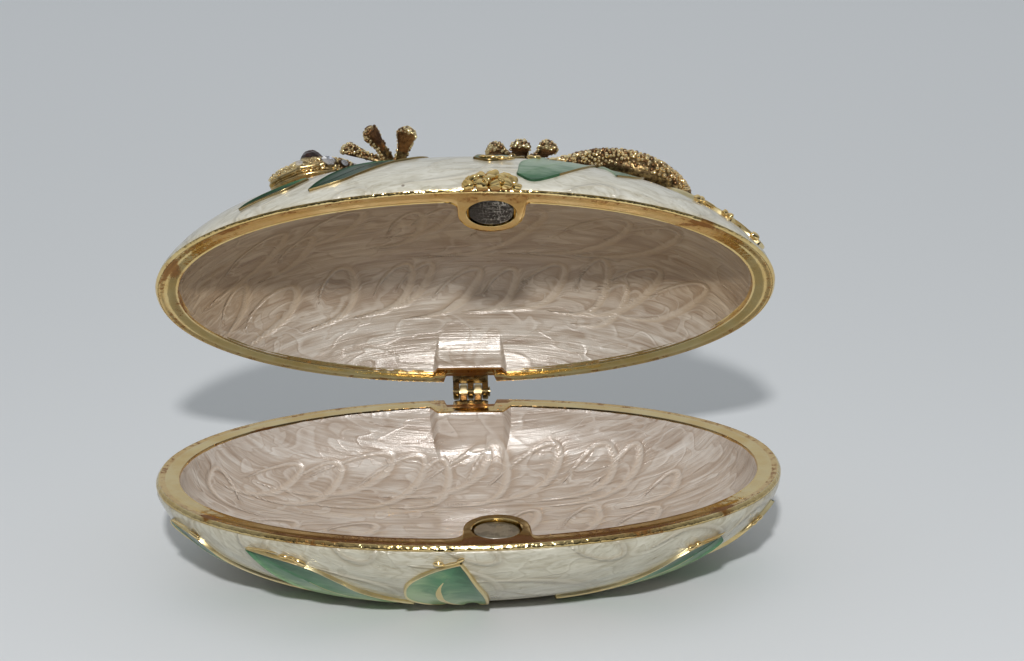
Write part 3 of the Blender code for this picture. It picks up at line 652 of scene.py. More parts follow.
def with_notch(rows):
    """Ovals of a shell's outside, kept clear of the notch behind the hinge."""
    return pulled_in(rows, wall_reach(rows[..., 0], rows[..., 1], NOTCH["half"], NOTCH["y"]), 0.7)


print("columns round a shell:", len(ANGLES))

# %% [markdown]
# ## The two castings
#
# One closed skin per casting: it starts in the middle of the cavity, climbs the wall, rounds the
# lip, crosses the polished land, rounds the outer edge, drops down the side band and returns over
# the outside. The magnet's hole is cut afterwards with a Boolean, because a round hole in the
# middle of a land would tear the grid.


# %% Castings
# Spots of the profile, as distance in from the outline and height over the rim plane: the lip
# counts from the land's inner edge. The lid's band leans in with its dome, the base's is upright.
LIP = [(0.0, 0.45), (0.03, 0.2), (0.1, 0.06), (0.25, 0.0)]
BASE_EDGE = {
    "bevel": [(0.37, 0.02), (0.29, 0.08), (0.22, 0.18), (0.14, 0.30), (0.07, 0.42), (0.015, 0.52)],
    "band": [(0.0, 0.741), (0.0, 0.8075), (0.05, 0.88), (0.2, 0.95)], "leans": False, "slope": 0.16,
}
LID_EDGE = {
    "bevel": [(0.40, 0.02), (0.30, 0.08), (0.21, 0.20), (0.14, 0.33), (0.09, 0.43), (0.07, 0.50)],
    "band": [(0.12, 0.6), (0.12, 0.9), (0.12, BAND_HEIGHT)], "leans": True, "slope": 0.34,
}
INSIDE_ROWS, LAND_ROWS, LOW_ROWS, HIGH_ROWS = 26, 10, 8, 16
LAND_STOP = INSIDE_ROWS + len(LIP) + LAND_ROWS


def casting_rows(outer, inner, last_height, edge):
    """All ovals of one casting, from the middle of its inside to the middle of its outside.

    The land falls by the edge's slope towards the cavity and has a shallow groove near its outer
    edge: slope * (0.55 - share) over the inner part, plus a bell curve.
    """
    inside = np.stack(dome_rings(inner, WALL_START, None, INSIDE_ROWS, LAND_WIDTH))
    inside = with_inner_limits(inside, inner)[::-1]
    lip = np.stack([ring(LAND_WIDTH - out, height) for out, height in LIP])
    lip = with_inner_limits(lip, inner)
    side = [ring(EDGE_ROUND, 0.0)] + [ring(*spot) for spot in edge["bevel"]]
    for inset, height in edge["band"]:
        side.append(ring(inset, height, dome_rho(height, outer) if edge["leans"] else 1.0))
    low = dome_rings(outer, BAND_HEIGHT * 1.25, NOTCH["height"], LOW_ROWS)
    notched = with_notch(np.stack(side + low))
    share = np.linspace(0, 1, LAND_ROWS + 2)[1:-1, None, None]
    land = lip[-1] + (notched[0] - lip[-1]) * share
    share = share[..., 0]
    land[..., 2] += edge["slope"] * np.clip(0.55 - share, 0, 1) + 0.05 * hump(share, 0.72, 0.12)
    lip[-1, :, 2] += edge["slope"] * 0.5
    high = np.stack(dome_rings(outer, NOTCH["height"], last_height, HIGH_ROWS))
    middle = ring(0, last_height or outer["depth"], 0.0)
    return np.concatenate([inside, lip, land, notched, high, middle[None]])


def cut_hole(piece, place, radius, depth):
    """Cut a round blind hole with a small chamfer, its mouth in the rim plane.

    The tool is a profile of (radius, height) turned about the magnet's axis.
    """
    levels = [(0.0, depth), (radius, depth), (radius, 0.18), (radius + 0.5, -0.32), (0.0, -0.32)]
    size, height = (np.array(column)[:, None] for column in zip(*levels))
    turn = full_turn(72)
    x, y = MAGNET["x"] + size * np.cos(turn), MAGNET["y"] + size * np.sin(turn)
    rows = np.stack([x, y, height + 0 * x], axis=-1)
    tool = make_piece("hole tool", place(rows), grid_quads(*x.shape), [], piece["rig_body"])
    change = piece.modifiers.new("hole", "BOOLEAN")
    change.operation, change.solver, change.object = "DIFFERENCE", "EXACT", tool
    graph = bpy.context.evaluated_depsgraph_get()
    graph.update()
    cut = bpy.data.meshes.new_from_object(piece.evaluated_get(graph), depsgraph=graph)
    piece.modifiers.clear()
    piece.data = cut
    cut.name = piece.name
    bpy.data.objects.remove(tool)


def casting_notes(rows, stains):
    """Stain is a bell curve at each stained place, more on the lip, and more on the land's outer
    edge, where it paints a dark reflection along the top of the bevel.

    Edge is 1 on the bevel and 0 elsewhere.
    """
    x, y, _ = np.moveaxis(rows, -1, 0)
    stain = sum(much * hump(x, *along) * hump(y, *across) for along, across, much in stains)
    stain[INSIDE_ROWS:INSIDE_ROWS + 3] += 0.45
    # The land's outer edge is darkened: a painted dark reflection along the top of the bevel.
    stain[LAND_STOP - 3:LAND_STOP + 1] += 0.50
    edge = np.zeros(stain.shape)
    edge[LAND_STOP + 1:LAND_STOP + 8] = 1.0
    return {"stain": np.clip(stain, 0, 1).ravel(), "edge": edge.ravel()}


def casting(name, place, outer, inner, last_height, edge, stains, finish, body, node):
    """A closed skin of ovals, with the magnet's hole cut into it and its hard edges kept hard."""
    rows = casting_rows(outer, inner, last_height, edge)
    quads, notes = grid_quads(*rows.shape[:2]), casting_notes(rows, stains)
    piece = make_piece(name, place(rows), quads, [finish], body, [node], "gold_plate", notes=notes)
    cut_hole(piece, place, MAGNET["hole"], MAGNET["hole_depth"])
    piece.data.set_sharp_from_angle(angle=math.radians(40))


print("land from oval", INSIDE_ROWS + len(LIP), "to", LAND_STOP)

# %% Cast both shells
# Stained places: x and its reach, y and its reach in mm, and how much.
BASE_STAINS = [
    ((-39.5, 1.6), (-18.0, 1.0), 0.9), ((39.5, 2.2), (-18.5, 1.4), 0.8), ((0.0, 6.5), (27.5, 2.5), 0.8),
    ((-34.0, 2.5), (18.5, 1.0), 0.9), ((4.6, 9.0), (-29.0, 1.6), 0.5),
    # The last two warm the whole front land brown: a painted reflection of the lid's inside.
    ((-20.0, 18.0), (-27.0, 2.2), 0.7), ((24.0, 16.0), (-26.0, 2.2), 0.7),
]
LID_STAINS = [
    ((-46.0, 1.5), (-9.0, 3.0), 1.0), ((38.0, 6.0), (-20.0, 1.0), 0.9),
    ((-46.8, 1.0), (2.0, 6.0), 0.55), ((0.0, 6.0), (27.0, 2.6), 0.9),
    ((-36.0, 5.0), (-20.5, 1.2), 0.35),
]
casting("base_casting", in_base, BASE_OUTER, BASE_INNER, BASE_HEIGHT, BASE_EDGE, BASE_STAINS,
        rim_gold, "base", "base_bowl")
casting("lid_casting", in_lid, LID_OUTER, LID_INNER, None, LID_EDGE, LID_STAINS,
        lit_lid_gold, "lid", "lid_dome")

# %% [markdown]
# ## Drawing loops through the enamel
#
# The stylus draws a row of leaning hooks: up from the left, over, down, and back to the left in a
# long tail. It presses hard on the way down and is nearly lifted elsewhere, so the ribbon swells
# and thins. One hook is a smooth run through ten knots, and each stroke gives it a place, a size
# and a lean of its own. Every point of the enamel looks up the nearest point of the lines.
# Its distance becomes `track`, and the lacquer close by is dragged along the line.


# %% Stylus lines
# The stroke's knots: share of its width, share of its height, half width in mm.
HOOK = [
    (-1.25, -0.62, 0.10), (-0.95, -0.30, 0.20), (-0.45, -0.03, 0.26), (-0.05, 0.0, 0.34),
    (0.10, -0.16, 0.46), (0.06, -0.45, 0.55), (-0.16, -0.74, 0.50), (-0.62, -0.94, 0.36),
    (-1.25, -1.02, 0.22), (-2.1, -1.04, 0.08),
]
PRESSED, THINNEST = 1.25, 0.07


def hook(x, y, height, width, lean, down=1.0):
    """Catmull-Rom through the knots, sheared by lean: up from the left, over, down and back left.

    PRESSED is how much broader the stylus is pressed than the knots say.
    """
    run = through(HOOK, np.linspace(0, len(HOOK) - 1, 130))
    rise = run[:, 1] * height
    broad = PRESSED * np.maximum(run[:, 2], THINNEST)
    return np.stack([x + run[:, 0] * width + lean * rise, y + rise * down, broad], axis=-1)


def combed_by(lines, flat, drag=1.1, width=0.9):
    """Signed distance of points to the nearest line, in its half widths, and where their lacquer was.

    Nearest is meant in half widths too. The lacquer was dragged along the line by drag times a
    bell curve of the distance. The points are taken in parts, which saves memory.
    """
    line = np.concatenate(lines)
    tangent = unit(np.concatenate([np.gradient(one[:, :2], axis=0) for one in lines]))
    spots = flat.reshape(-1, 2)
    nearest = []
    for part in np.array_split(spots, max(1, len(spots) // 4000)):
        square = ((part[:, None] - line[None, :, :2]) ** 2).sum(-1)
        nearest.append(np.argmin(square / line[:, 2] ** 2, axis=1))
    nearest = np.concatenate(nearest)
    apart = spots - line[nearest, :2]
    side = tangent[nearest, 0] * apart[:, 1] - tangent[nearest, 1] * apart[:, 0]
    distance = np.linalg.norm(apart, axis=1) * np.where(side < 0, -1, 1)
    flow = spots - drag * hump(distance, 0, width)[:, None] * tangent[nearest]
    shape = flat.shape[:-1]
    return (distance / line[nearest, 2]).reshape(shape), flow.reshape(*shape, 2)


def flattened(rows, dome):
    """Plan points pushed out by the length of the dome's profile, so that walls aren't squeezed."""
    rho = np.linspace(0, 1, 400)
    length = run_length(np.column_stack([rho * HALF_WIDTH, dome_height(rho, dome)])) / HALF_WIDTH
    here = np.clip(dome_rho(np.clip(rows[..., 2], 0, dome["depth"]), dome), 0, 1)
    grow = np.interp(here, rho, length) / np.maximum(here, 0.02)
    return rows[..., :2] * np.maximum(grow, 1.0)[..., None]


print("one hook runs through", len(HOOK), "knots")

# %% The strokes of each surface
# Strokes: apex x and y on the flattened lining, height, width, lean.
BASE_STROKES = [
    (-30.0, 19.5, 9.5, 5.5, 0.45), (-23.0, 21.5, 11.0, 6.0, 0.2), (-14.0, 24.5, 10.5, 8.5, 0.55),
    (-8.4, 24.5, 12.5, 7.5, 0.3), (-4.6, 24.0, 11.0, 4.5, -0.05), (3.0, 25.5, 9.5, 6.5, 0.5),
    (5.4, 26.0, 12.5, 5.5, -0.05), (15.6, 25.9, 11.5, 8.0, 0.35), (25.0, 24.2, 10.0, 7.0, 0.1),
    (31.0, 22.5, 10.0, 5.5, 0.6), (36.0, 15.0, 5.5, 4.5, 0.3), (10.8, 11.0, 8.0, 4.5, 0.1),
    (20.8, 11.0, 9.0, 4.5, 0.0), (-16.0, 7.0, 6.0, 6.0, 0.2), (-29.0, 5.5, 6.0, 6.0, 0.3),
    (31.0, 7.5, 6.0, 5.0, 0.2), (-46.5, 12.0, 6.5, -6.0, 0.1), (-6.0, -8.0, 8.0, 6.0, 0.2),
    (-20.0, -9.0, 8.0, 6.0, 0.3), (18.0, -6.0, 8.0, 6.0, 0.2), (30.0, -6.0, 7.0, 6.0, 0.3),
]
LID_STROKES = [
    (-31.0, 13.0, 7.0, 9.0, 0.1), (-20.5, 12.0, 9.5, 5.5, -0.1), (-9.8, 13.0, 8.5, 5.0, 0.1),
    (-6.0, 13.0, 8.0, 4.0, 0.35), (2.2, 14.5, 8.5, 5.0, 0.4), (8.2, 14.5, 8.0, 4.0, 0.1),
    (16.6, 13.0, 9.0, 5.5, 0.15), (23.8, 10.8, 11.0, 4.5, -0.1), (28.2, 15.0, 8.5, 4.0, 0.1),
    (34.0, 10.2, 11.5, 7.0, 0.4), (44.0, 9.5, 11.0, 6.0, 0.55), (-39.5, 9.0, 7.0, 5.0, 0.3),
    (-30.4, -0.5, 9.0, 8.0, 0.5), (-25.6, 2.5, 7.0, 4.0, 0.4), (-17.0, -3.0, 8.0, 7.0, 0.3),
    (-7.4, -1.0, 9.0, 4.5, 0.0), (-1.8, -2.0, 7.5, 4.5, 0.3), (13.2, -1.0, 12.0, 7.0, 0.5),
    (27.4, -1.0, 11.5, 8.0, 0.4), (36.6, -2.0, 12.0, 7.5, 0.5), (-26.0, -12.5, 7.0, 6.0, 0.3),
    (-12.0, -13.0, 7.0, 6.0, 0.2), (20.0, -13.0, 7.0, 6.0, 0.3), (31.0, -12.0, 6.0, 5.0, 0.3),
]
BASE_LINES = [hook(*stroke) for stroke in BASE_STROKES]
LID_LINES = [hook(*stroke, down=-1.0) for stroke in LID_STROKES]
# Outside, two rings of strokes on the flattened oval, each of a random height, width and lean.
rng = np.random.default_rng(17)
FLAT_LENGTH, FLAT_WIDTH = 60, 38
OUTSIDE_LINES = [
    hook(FLAT_LENGTH * math.cos(a) * far, FLAT_WIDTH * math.sin(a) * far,
         *rng.uniform((6, 6, -0.4), (12, 11, 0.6)))
    for a in full_turn(15) + 0.2 for far in (0.66, 0.95)
]
print(len(BASE_LINES), "strokes in the base,", len(LID_LINES), "in the lid")

# %% [markdown]
# ## The enamel skins
#
# The enamel stands a tenth of a millimetre proud of the metal. Its edge dives under the gold with
# a slightly irregular border, which is what a hand-filled edge does. The lacquer swells along the
# stylus's track; the finish carries the same ridge on more finely, so that the clear coat glitters.


# %% Enamel skins
def wander(angles, seed, reach, rates=(3, 7, 13, 29, 53, 97)):
    """A line that wanders round the box: sines of growing rate and falling size."""
    rng = np.random.default_rng(seed)
    return sum(
        reach / (1 + i * 0.5) * rng.uniform(0.4, 1) * np.sin(rate * angles + rng.uniform(0, 6.3))
        for i, rate in enumerate(rates)
    )


def enamel_relief(track, flat, seed):
    """A soft swell along every line, fine comb ridges, and slow waves where lacquer pooled."""
    ribbon = 0.05 * np.exp(-(track**2) / 5.0)
    rng = np.random.default_rng(seed)
    waves = [(rng.normal(0, [0.10, 0.55]), rng.uniform(0.4, 1), rng.uniform(0, 6)) for _ in range(9)]
    pool = sum(0.035 * size * np.sin(flat @ slope + phase) for slope, size, phase in waves)
    ridges = [(rng.normal([0, 3.0], [0.06, 0.8]), rng.uniform(0, 6)) for _ in range(5)]
    comb = sum(0.005 * np.sin(flat @ slope + phase) for slope, phase in ridges)
    return np.maximum(ribbon + pool + comb, -0.07)


LIFT, SINK, SOFT_LIMIT = 0.14, 0.2, 0.1


def enamel_skin(name, rows, dome, lines, place, finish, body, seed, facing=1.0):
    """A grid of enamel on a shell, lifted along its normals, with its flow, track and side kept.

    The first rows sink under the gold, and the next few rise to the full lift. Outside, where
    leaves lie on it, the relief stays under a soft limit: limit * tanh(relief / limit).
    """
    flat = flattened(rows, dome)
    track, flow = combed_by(lines, flat)
    normal = grid_normals(rows) * facing
    row = np.linspace(0, 1, len(rows))[:, None] * len(rows)
    border = np.clip((row - 1.5) / 2.5, -0.6, 1)
    relief = enamel_relief(track, flat, seed)
    if facing > 0:
        relief = SOFT_LIMIT * np.tanh(relief / SOFT_LIMIT)
    rise = (LIFT + relief) * np.maximum(border, 0) + SINK * np.minimum(border, 0)
    rise[-1] = rise[-1].mean()
    skin = rows + normal * rise[..., None]
    skin[-1] = skin[-1].mean(axis=0)
    seeds = np.full((*flow.shape[:2], 1), float(seed))
    notes = {"flow": np.concatenate([flow, seeds], axis=-1).reshape(-1, 3)}
    notes |= {"track": np.minimum(np.abs(track), 9).ravel(), "side": np.sign(track).ravel()}
    quads = grid_quads(*rows.shape[:2])
    make_piece(name, place(skin), quads, [finish], body, slot="pearl_enamel", notes=notes)


def lining_rows(dome, seed, count=104):
    """Ovals of the lining, its first ones at the wandering edge under the lip."""
    first = [ring(LAND_WIDTH, height) for height in (0.15, 0.32, 0.5, 0.7)]
    rows = np.stack(first + dome_rings(dome, WALL_START, None, count, LAND_WIDTH))
    rows[:len(first), :, 2] += wander(ANGLES, seed, 0.05)
    return with_inner_limits(rows, dome)


def outside_rows(dome, start, last_height, seed, count=76):
    """Ovals of the outside enamel, from under the gold band to the crown or the foot."""
    first = [ring(0, start + d, dome_rho(start + d, dome)) for d in (0, 0.1, 0.22, 0.34, 0.46)]
    stop = last_height or dome["depth"] * 0.99999
    rows = np.stack(first + dome_rings(dome, start + 0.6, stop, count))
    rows[:len(first), :, 2] += wander(ANGLES, seed, 0.04)
    low = rows[..., 2] < NOTCH["height"]
    return np.where(low[..., None], with_notch(rows), rows)


print("enamel lifted by", LIFT, "mm")

# %% Lay the enamel
for name, place, dome, lines, finish, body, seed in (
    ("base_lining", in_base, BASE_INNER, BASE_LINES, base_enamel, "base", 1),
    ("lid_lining", in_lid, LID_INNER, LID_LINES, lid_enamel, "lid", 2),
):
    enamel_skin(name, lining_rows(dome, seed), dome, lines, place, finish, body, seed, facing=-1.0)

for name, place, dome, start, last, finish, body, seed in (
    ("base_outside_enamel", in_base, BASE_OUTER, 0.8, 15.6, shaded_cream_enamel, "base", 3),
    ("lid_outside_enamel", in_lid, LID_OUTER, 0.5, None, cream_enamel, "lid", 4),
):
    rows = outside_rows(dome, start, last, seed)
    enamel_skin(name, rows, dome, OUTSIDE_LINES, place, finish, body, seed)

# %% [markdown]
# ## Leaves
#
# On the casting each leaf is a low blade with a raised gold wall round it and a raised vein, and
# green lacquer is filled between. A leaf is one grid laid over the dome: rows go from root to tip,
# columns are lanes across it, some of them at fixed distances from the edge so that the gold wall
# keeps its width. Every point is slid onto the dome and then lifted by its lane's height. The gold
# and the green are chosen face by face.


# %% Laying a leaf on a dome
def dome_point(angle, height, dome):
    """The point of a dome at an ellipse angle and a height over the rim plane."""
    x, y = outline(angle)
    rho = dome_rho(height, dome)
    return np.stack([x * rho, y * rho, height + 0 * angle], axis=-1)


def settle(points, dome):
    """Slide points along their rays from the middle of the rim plane onto the dome, by halving."""
    low, high = np.full(points.shape[:-1], 0.3), np.full(points.shape[:-1], 1.7)
    for _ in range(36):
        scale = (low + high) / 2
        moved = points * scale[..., None]
        rho = plan_rho(moved[..., 0], moved[..., 1])
        outside = (moved[..., 2] > dome_height(rho, dome)) | (rho > 1)
        high, low = np.where(outside, scale, high), np.where(outside, low, scale)
    return points * low[..., None]


def dome_normal(points, dome):
    """Outward normals of a dome, from the slope of its height in plan."""
    step = 0.02
    x, y = points[..., 0], points[..., 1]
    slope_x = dome_height(plan_rho(x + step, y), dome) - dome_height(plan_rho(x - step, y), dome)
    slope_y = dome_height(plan_rho(x, y + step), dome) - dome_height(plan_rho(x, y - step), dome)
    return unit(np.stack([-slope_x, -slope_y, np.full(x.shape, 2 * step)], axis=-1))


# Lanes of the gold wall, as distance in from the leaf's edge and height, then of the green blade,
# as share of the way from wall to vein and height.
LEAF_WALL = [(-0.10, -0.3), (-0.02, 0.42), (0.06, 0.66), (0.16, 0.75), (0.30, 0.73), (0.40, 0.58)]
LEAF_BLADE = [(0.14, 0.47), (0.35, 0.40), (0.6, 0.38), (0.85, 0.43)]
LEAF_ROWS = 64
WALL_WIDTH, VEIN_EDGE, EDGE_SPILL = 0.40, 0.12, 0.12
LENS_SLANT = 0.25


def leaf_edge(knots, u, dome):
    """A smooth run through (angle, height) knots, spaced by their length on the dome."""
    table = np.array(knots, dtype=float)
    spots = dome_point(np.radians(table[:, 0]), table[:, 1], dome)
    length = run_length(spots)
    run = through(table, np.interp(u * length[-1], length, np.arange(len(table))))
    return dome_point(np.radians(run[:, 0]), np.maximum(run[:, 1], 0.3), dome)


def lens(root, tip, half_width, bend=0.0):
    """The two edges of a plain leaf: half a sine to either side of a line from root to tip."""
    t = np.linspace(0, 1, 7)
    angle = root[0] + (tip[0] - root[0]) * t + bend * t * (1 - t) * 4
    height = root[1] + (tip[1] - root[1]) * t
    wide = half_width * np.sin(math.pi * (0.12 + 0.88 * t))
    near = np.column_stack([angle + wide, height - wide * LENS_SLANT])
    far = np.column_stack([angle - wide, height + wide * LENS_SLANT])
    return {"near": near, "far": far}


def leaf_faces(leaf, u, vein, columns):
    """Finish number of every face: 0 is gold, for walls and vein, and 1 the lacquer between."""
    gold = np.zeros((len(u) - 1, columns - 1), dtype=int)
    walls, vein_at = len(LEAF_WALL) - 1, columns // 2
    gold[:, walls:columns - 1 - walls] = 1
    gold[:, vein_at - 1:vein_at + 1] = np.where(vein[1:] > 0.035, 0, 1)[:, None]
    if leaf.get("open") == "far":
        gold[:, columns - 1 - walls:] = 1
    gold[u[1:] > leaf.get("gilt", 1.0)] = 1
    return gold


def leaf_grid(leaf, dome, height_share, taper):
    """Points, finish number of every face, and the notes along and across, for one leaf.

    Its two edges are smooth runs through knots from root to tip. The middle line lies halfway
    between them, and the half width is half their distance. Near the root the width grows as the
    square root of the way along, over a share called taper.
    """
    u = 0.5 - 0.5 * np.cos(np.linspace(0.05, math.pi - 0.02, LEAF_ROWS))
    near, far = leaf_edge(leaf["near"], u, dome), leaf_edge(leaf["far"], u, dome)
    middle, across = (near + far) / 2, near - far
    half = np.linalg.norm(across, axis=1) / 2
    across = across / np.maximum(half * 2, 1e-6)[:, None]
    across[-1] = across[-2]
    half = (half + EDGE_SPILL) * np.sqrt(np.clip(u / taper, 0, 1))
    wall = leaf.get("wall", 1.0)
    room = np.maximum(half - WALL_WIDTH * wall, 0.02)
    vein_stop = np.clip((leaf.get("vein_end", 0.8) - u) / 0.25, 0, 1)
    vein = np.minimum(leaf.get("vein", 0.15) * vein_stop ** leaf.get("vein_taper", 0.5), room * 0.4)
    bow = leaf.get("bow", 0.0) * half * np.sin(math.pi * u)
    lanes = [np.maximum(half - inset * wall, 0.0) for inset, _ in LEAF_WALL]
    lanes += [room + (vein + VEIN_EDGE - room) * share for share, _ in LEAF_BLADE]
    lanes = np.array(lanes + [vein])
    rise = [np.full(LEAF_ROWS, height) for _, height in LEAF_WALL + LEAF_BLADE]
    rise = np.array(rise + [0.43 + 0.24 * np.clip(vein / 0.1, 0, 1)])
    offset = np.concatenate([lanes, 0 * lanes[:1], -lanes[::-1]]).T
    lift = np.concatenate([rise, rise[-1:] + 0.03, rise[::-1]]).T
    blade = 1 - np.clip((np.abs(offset) / half[:, None] - 0.2) / 0.8, 0, 1)
    offset = offset + bow[:, None] * blade
    skin = settle(middle[:, None] + across[:, None] * offset[..., None], dome)
    swell = np.minimum(1.0, 32 * u)[:, None]
    points = skin + dome_normal(skin, dome) * (lift * swell * height_share)[..., None]
    columns = offset.shape[1]
    along = np.repeat(u, columns) + leaf.get("dark", 0.0)
    across = (offset / half[:, None]).ravel()
    return points, leaf_faces(leaf, u, vein, columns), along, across


print("lanes across a leaf:", 2 * (len(LEAF_WALL) + len(LEAF_BLADE) + 1) + 1)

# %% [markdown]
# ## Leaf lacquer
#
# The lacquer is floated in wet: deep teal at the tip, mint towards the root, and almost cream
# where it thins over the lower edge. The two notes kept on the leaf carry those gradients, and a
# long noise gives the brush marks. Petals of the bud take the same shader in cream.


# %% Leaf finishes
def leaf_finish(name, deep, middle, pale, coat=0.35):
    """Lacquer from pale to deep: depth is the way along, some of the way across, and two noises."""
    finish = Finish(name, Coat_Weight=coat, Coat_Roughness=0.03, IOR=1.3 + coat * 0.5)
    along, across = finish.note("along"), finish.note("across")
    place = finish.place()
    brush = finish.streaks(place, (220.0, 700.0, 700.0), 3.0, 0.6, 0.8)
    cloud = finish.noise(place, 190.0, 2.0)
    depth = along * 0.95 + across * 0.28 + (brush - 0.5) * 0.5 + (cloud - 0.5) * 0.5
    tone = finish.blend(depth.ramp(0.12, 0.62), pale, middle)
    tone = finish.blend(depth.ramp(0.55, 1.0), tone, deep)
    finish.feed("Base Color", tone)
    finish.feed("Roughness", 0.3 + brush * 0.15)
    finish.feed("Normal", finish.bump(brush, 0.03))
    return finish


LEAF_TONES = ((0.018, 0.080, 0.034), (0.070, 0.190, 0.090), (0.34, 0.47, 0.24))
LID_LEAF_TONES = ((0.007, 0.038, 0.014), (0.045, 0.125, 0.058), (0.30, 0.38, 0.28))
PETAL_TONES = ((0.55, 0.46, 0.36), (0.64, 0.61, 0.50), (0.66, 0.68, 0.58))
leaf_green = leaf_finish("leaf lacquer", *LEAF_TONES)
lid_green = leaf_finish("shaded leaf lacquer", *LID_LEAF_TONES, coat=0.08)
petal_cream = leaf_finish("petal lacquer", *PETAL_TONES)
print("leaf lacquers made")

# %% [markdown]
# ## Where the leaves lie
#
# Five leaves with drawn edges stand round the front of each shell and five plain ones round the
# back. The front ones differ in how their wall runs: a leaf may be open, which means that its far
# wall is green too, and its vein may be thin, short or left out. The lid hangs over its leaves in
# shade, so theirs are lower, narrower at the root and darker. Three petals make the bud.

# %% Leaves of the two shells
# Edges from root to tip as (ellipse angle in degrees, height from the rim plane in mm); near is
# the edge closer to the rim. wall and vein are widths, vein_end and gilt are shares of the way
# along, and dark shifts the lacquer's tone. Plain leaves come from two points, a half width in
# degrees and a bend.
BASE_LEAVES = [
    {"near": [(-103, 14.6), (-111.5, 10.2), (-114.3, 7.5), (-117.6, 5.4), (-121.6, 4.2), (-126.6, 3.5),
              (-132, 2.9)],
     "far": [(-118, 15.0), (-126, 12.8), (-129.2, 10.4), (-129.8, 8.2), (-130.6, 5.6), (-132, 2.9)],
     "open": "far", "vein": 0.13, "vein_end": 0.6, "wall": 0.4},
    {"near": [(-85, 14.8), (-86.2, 10.9), (-88.4, 7.0), (-89.7, 4.5), (-90.8, 2.7)],
     "far": [(-99, 15.0), (-102.6, 11.6), (-101.9, 8.7), (-100, 6.5), (-97.2, 4.8), (-94.3, 3.6),
             (-90.8, 2.7)],
     "wall": 1.25, "vein": 0.50, "vein_end": 0.74, "vein_taper": 1.3, "bow": -0.14},
    {"near": [(-66, 15.0), (-56, 12.6), (-51.2, 8.5), (-47.5, 5.9), (-43.3, 4.6), (-38.1, 4.0)],
     "far": [(-58, 15.2), (-46, 13.2), (-39.5, 10), (-36.4, 7.4), (-35.7, 5.4), (-38.1, 4.0)],
     "open": "far", "wall": 0.4},
    {"near": [(-127, 14.8), (-139, 11.6), (-144.6, 8.4), (-146.2, 5.4), (-149.5, 3.6), (-158, 2.7)],
     "far": [(-142, 15.0), (-156, 11.6), (-162, 8.0), (-163, 5.0), (-158, 2.7)], "wall": 0.45},
    {"near": [(-26, 15.0), (-23.5, 11), (-24, 7.8), (-22, 5.4), (-14, 3.2)],
     "far": [(-10, 15.0), (-4, 11), (-3, 7.5), (-7, 5.0), (-14, 3.2)], "wall": 0.7},
    lens((46, 14.6), (34, 2.9), 7.5, 2), lens((72, 14.6), (64, 2.9), 7.5, 2),
    lens((106, 14.6), (116, 2.9), 7.5, -2), lens((130, 14.4), (146, 2.8), 7.5, -3),
    lens((162, 13.8), (176, 3.2), 6.25),
]
LID_LEAVES = [
    {"near": [(-121.5, 7.6), (-124.6, 5.45), (-127.5, 4.6), (-130.7, 3.9), (-134.4, 3.0)],
     "far": [(-124.0, 8.6), (-127.2, 7.0), (-130.5, 5.7), (-133.3, 4.3), (-134.4, 3.0)],
     "wall": 0.3, "dark": 0.7, "open": "far", "vein": 0.0},
    {"near": [(-96, 13.8), (-104, 10), (-108.2, 6.9), (-112, 4.6), (-118, 3.3)],
     "far": [(-106, 15.2), (-113.2, 11.9), (-115.6, 8.7), (-117.2, 5.6), (-118, 3.3)],
     "wall": 0.3, "dark": 0.7, "open": "far", "vein": 0.0},
    {"near": [(-70, 14.4), (-78, 10.6), (-84, 8.6), (-87.5, 9.6)],
     "far": [(-72, 16.0), (-80, 14.4), (-85.5, 12.4), (-87.5, 9.6)], "wall": 0.4},
    {"near": [(-50, 14.2), (-58, 10.6), (-64.4, 8.0), (-72.3, 4.4), (-77.6, 2.5), (-80.2, 4.0)],
     "far": [(-55, 15.4), (-66, 13.2), (-72.2, 10.6), (-78, 7.9), (-80.2, 4.0)],
     "wall": 0.35, "dark": -0.35, "open": "far", "vein": 0.0, "gilt": 0.72},
    {"near": [(-36, 13.6), (-44, 10.2), (-52, 7.6), (-58.5, 6.5)],
     "far": [(-40, 15.0), (-50, 13.0), (-56, 10.2), (-58.5, 6.5)],
     "wall": 0.35, "dark": -0.4, "open": "far", "vein": 0.0},
    lens((42, 13.8), (31, 3.2), 7.5, 3), lens((64, 13.8), (58, 3.4), 7.5, 2),
    lens((112, 13.8), (121, 3.4), 7.5, -2), lens((136, 13.4), (149, 3.0), 7.5, -3),
    lens((166, 12.6), (180, 3.2), 6.25),
]
BUD_PETALS = [
    {"near": [(-16, 11.5), (-22, 9.0), (-28, 7.4), (-34.5, 6.6)],
     "far": [(-20, 13), (-30, 11.5), (-35, 9.2), (-34.5, 6.6)]},
    {"near": [(-10, 9.5), (-16, 6.8), (-22, 4.8), (-27.5, 4.4)],
     "far": [(-14, 12), (-24, 10), (-29, 7.4), (-27.5, 4.4)]},
    {"near": [(-4, 7.5), (-9, 4.6), (-14, 2.6), (-19.5, 1.9)],
     "far": [(-8, 10), (-16, 8.0), (-21, 5.2), (-19.5, 1.9)]},
]


def add_leaves(name, leaves, dome, place, body, edge, finish, height_share=1.0, taper=0.05):
    """All leaves of one kind as one piece."""
    made = [leaf_grid(leaf, dome, height_share, taper) for leaf in leaves]
    grids, choices, along, across = (np.stack(part) for part in zip(*made))
    points, quads = stacked(grids, around=False)
    notes = {"along": along.ravel(), "across": across.ravel()}
    make_piece(name, place(points), quads, [edge, finish], body, slot="pearl_enamel",
               choice=choices.ravel(), notes=notes)


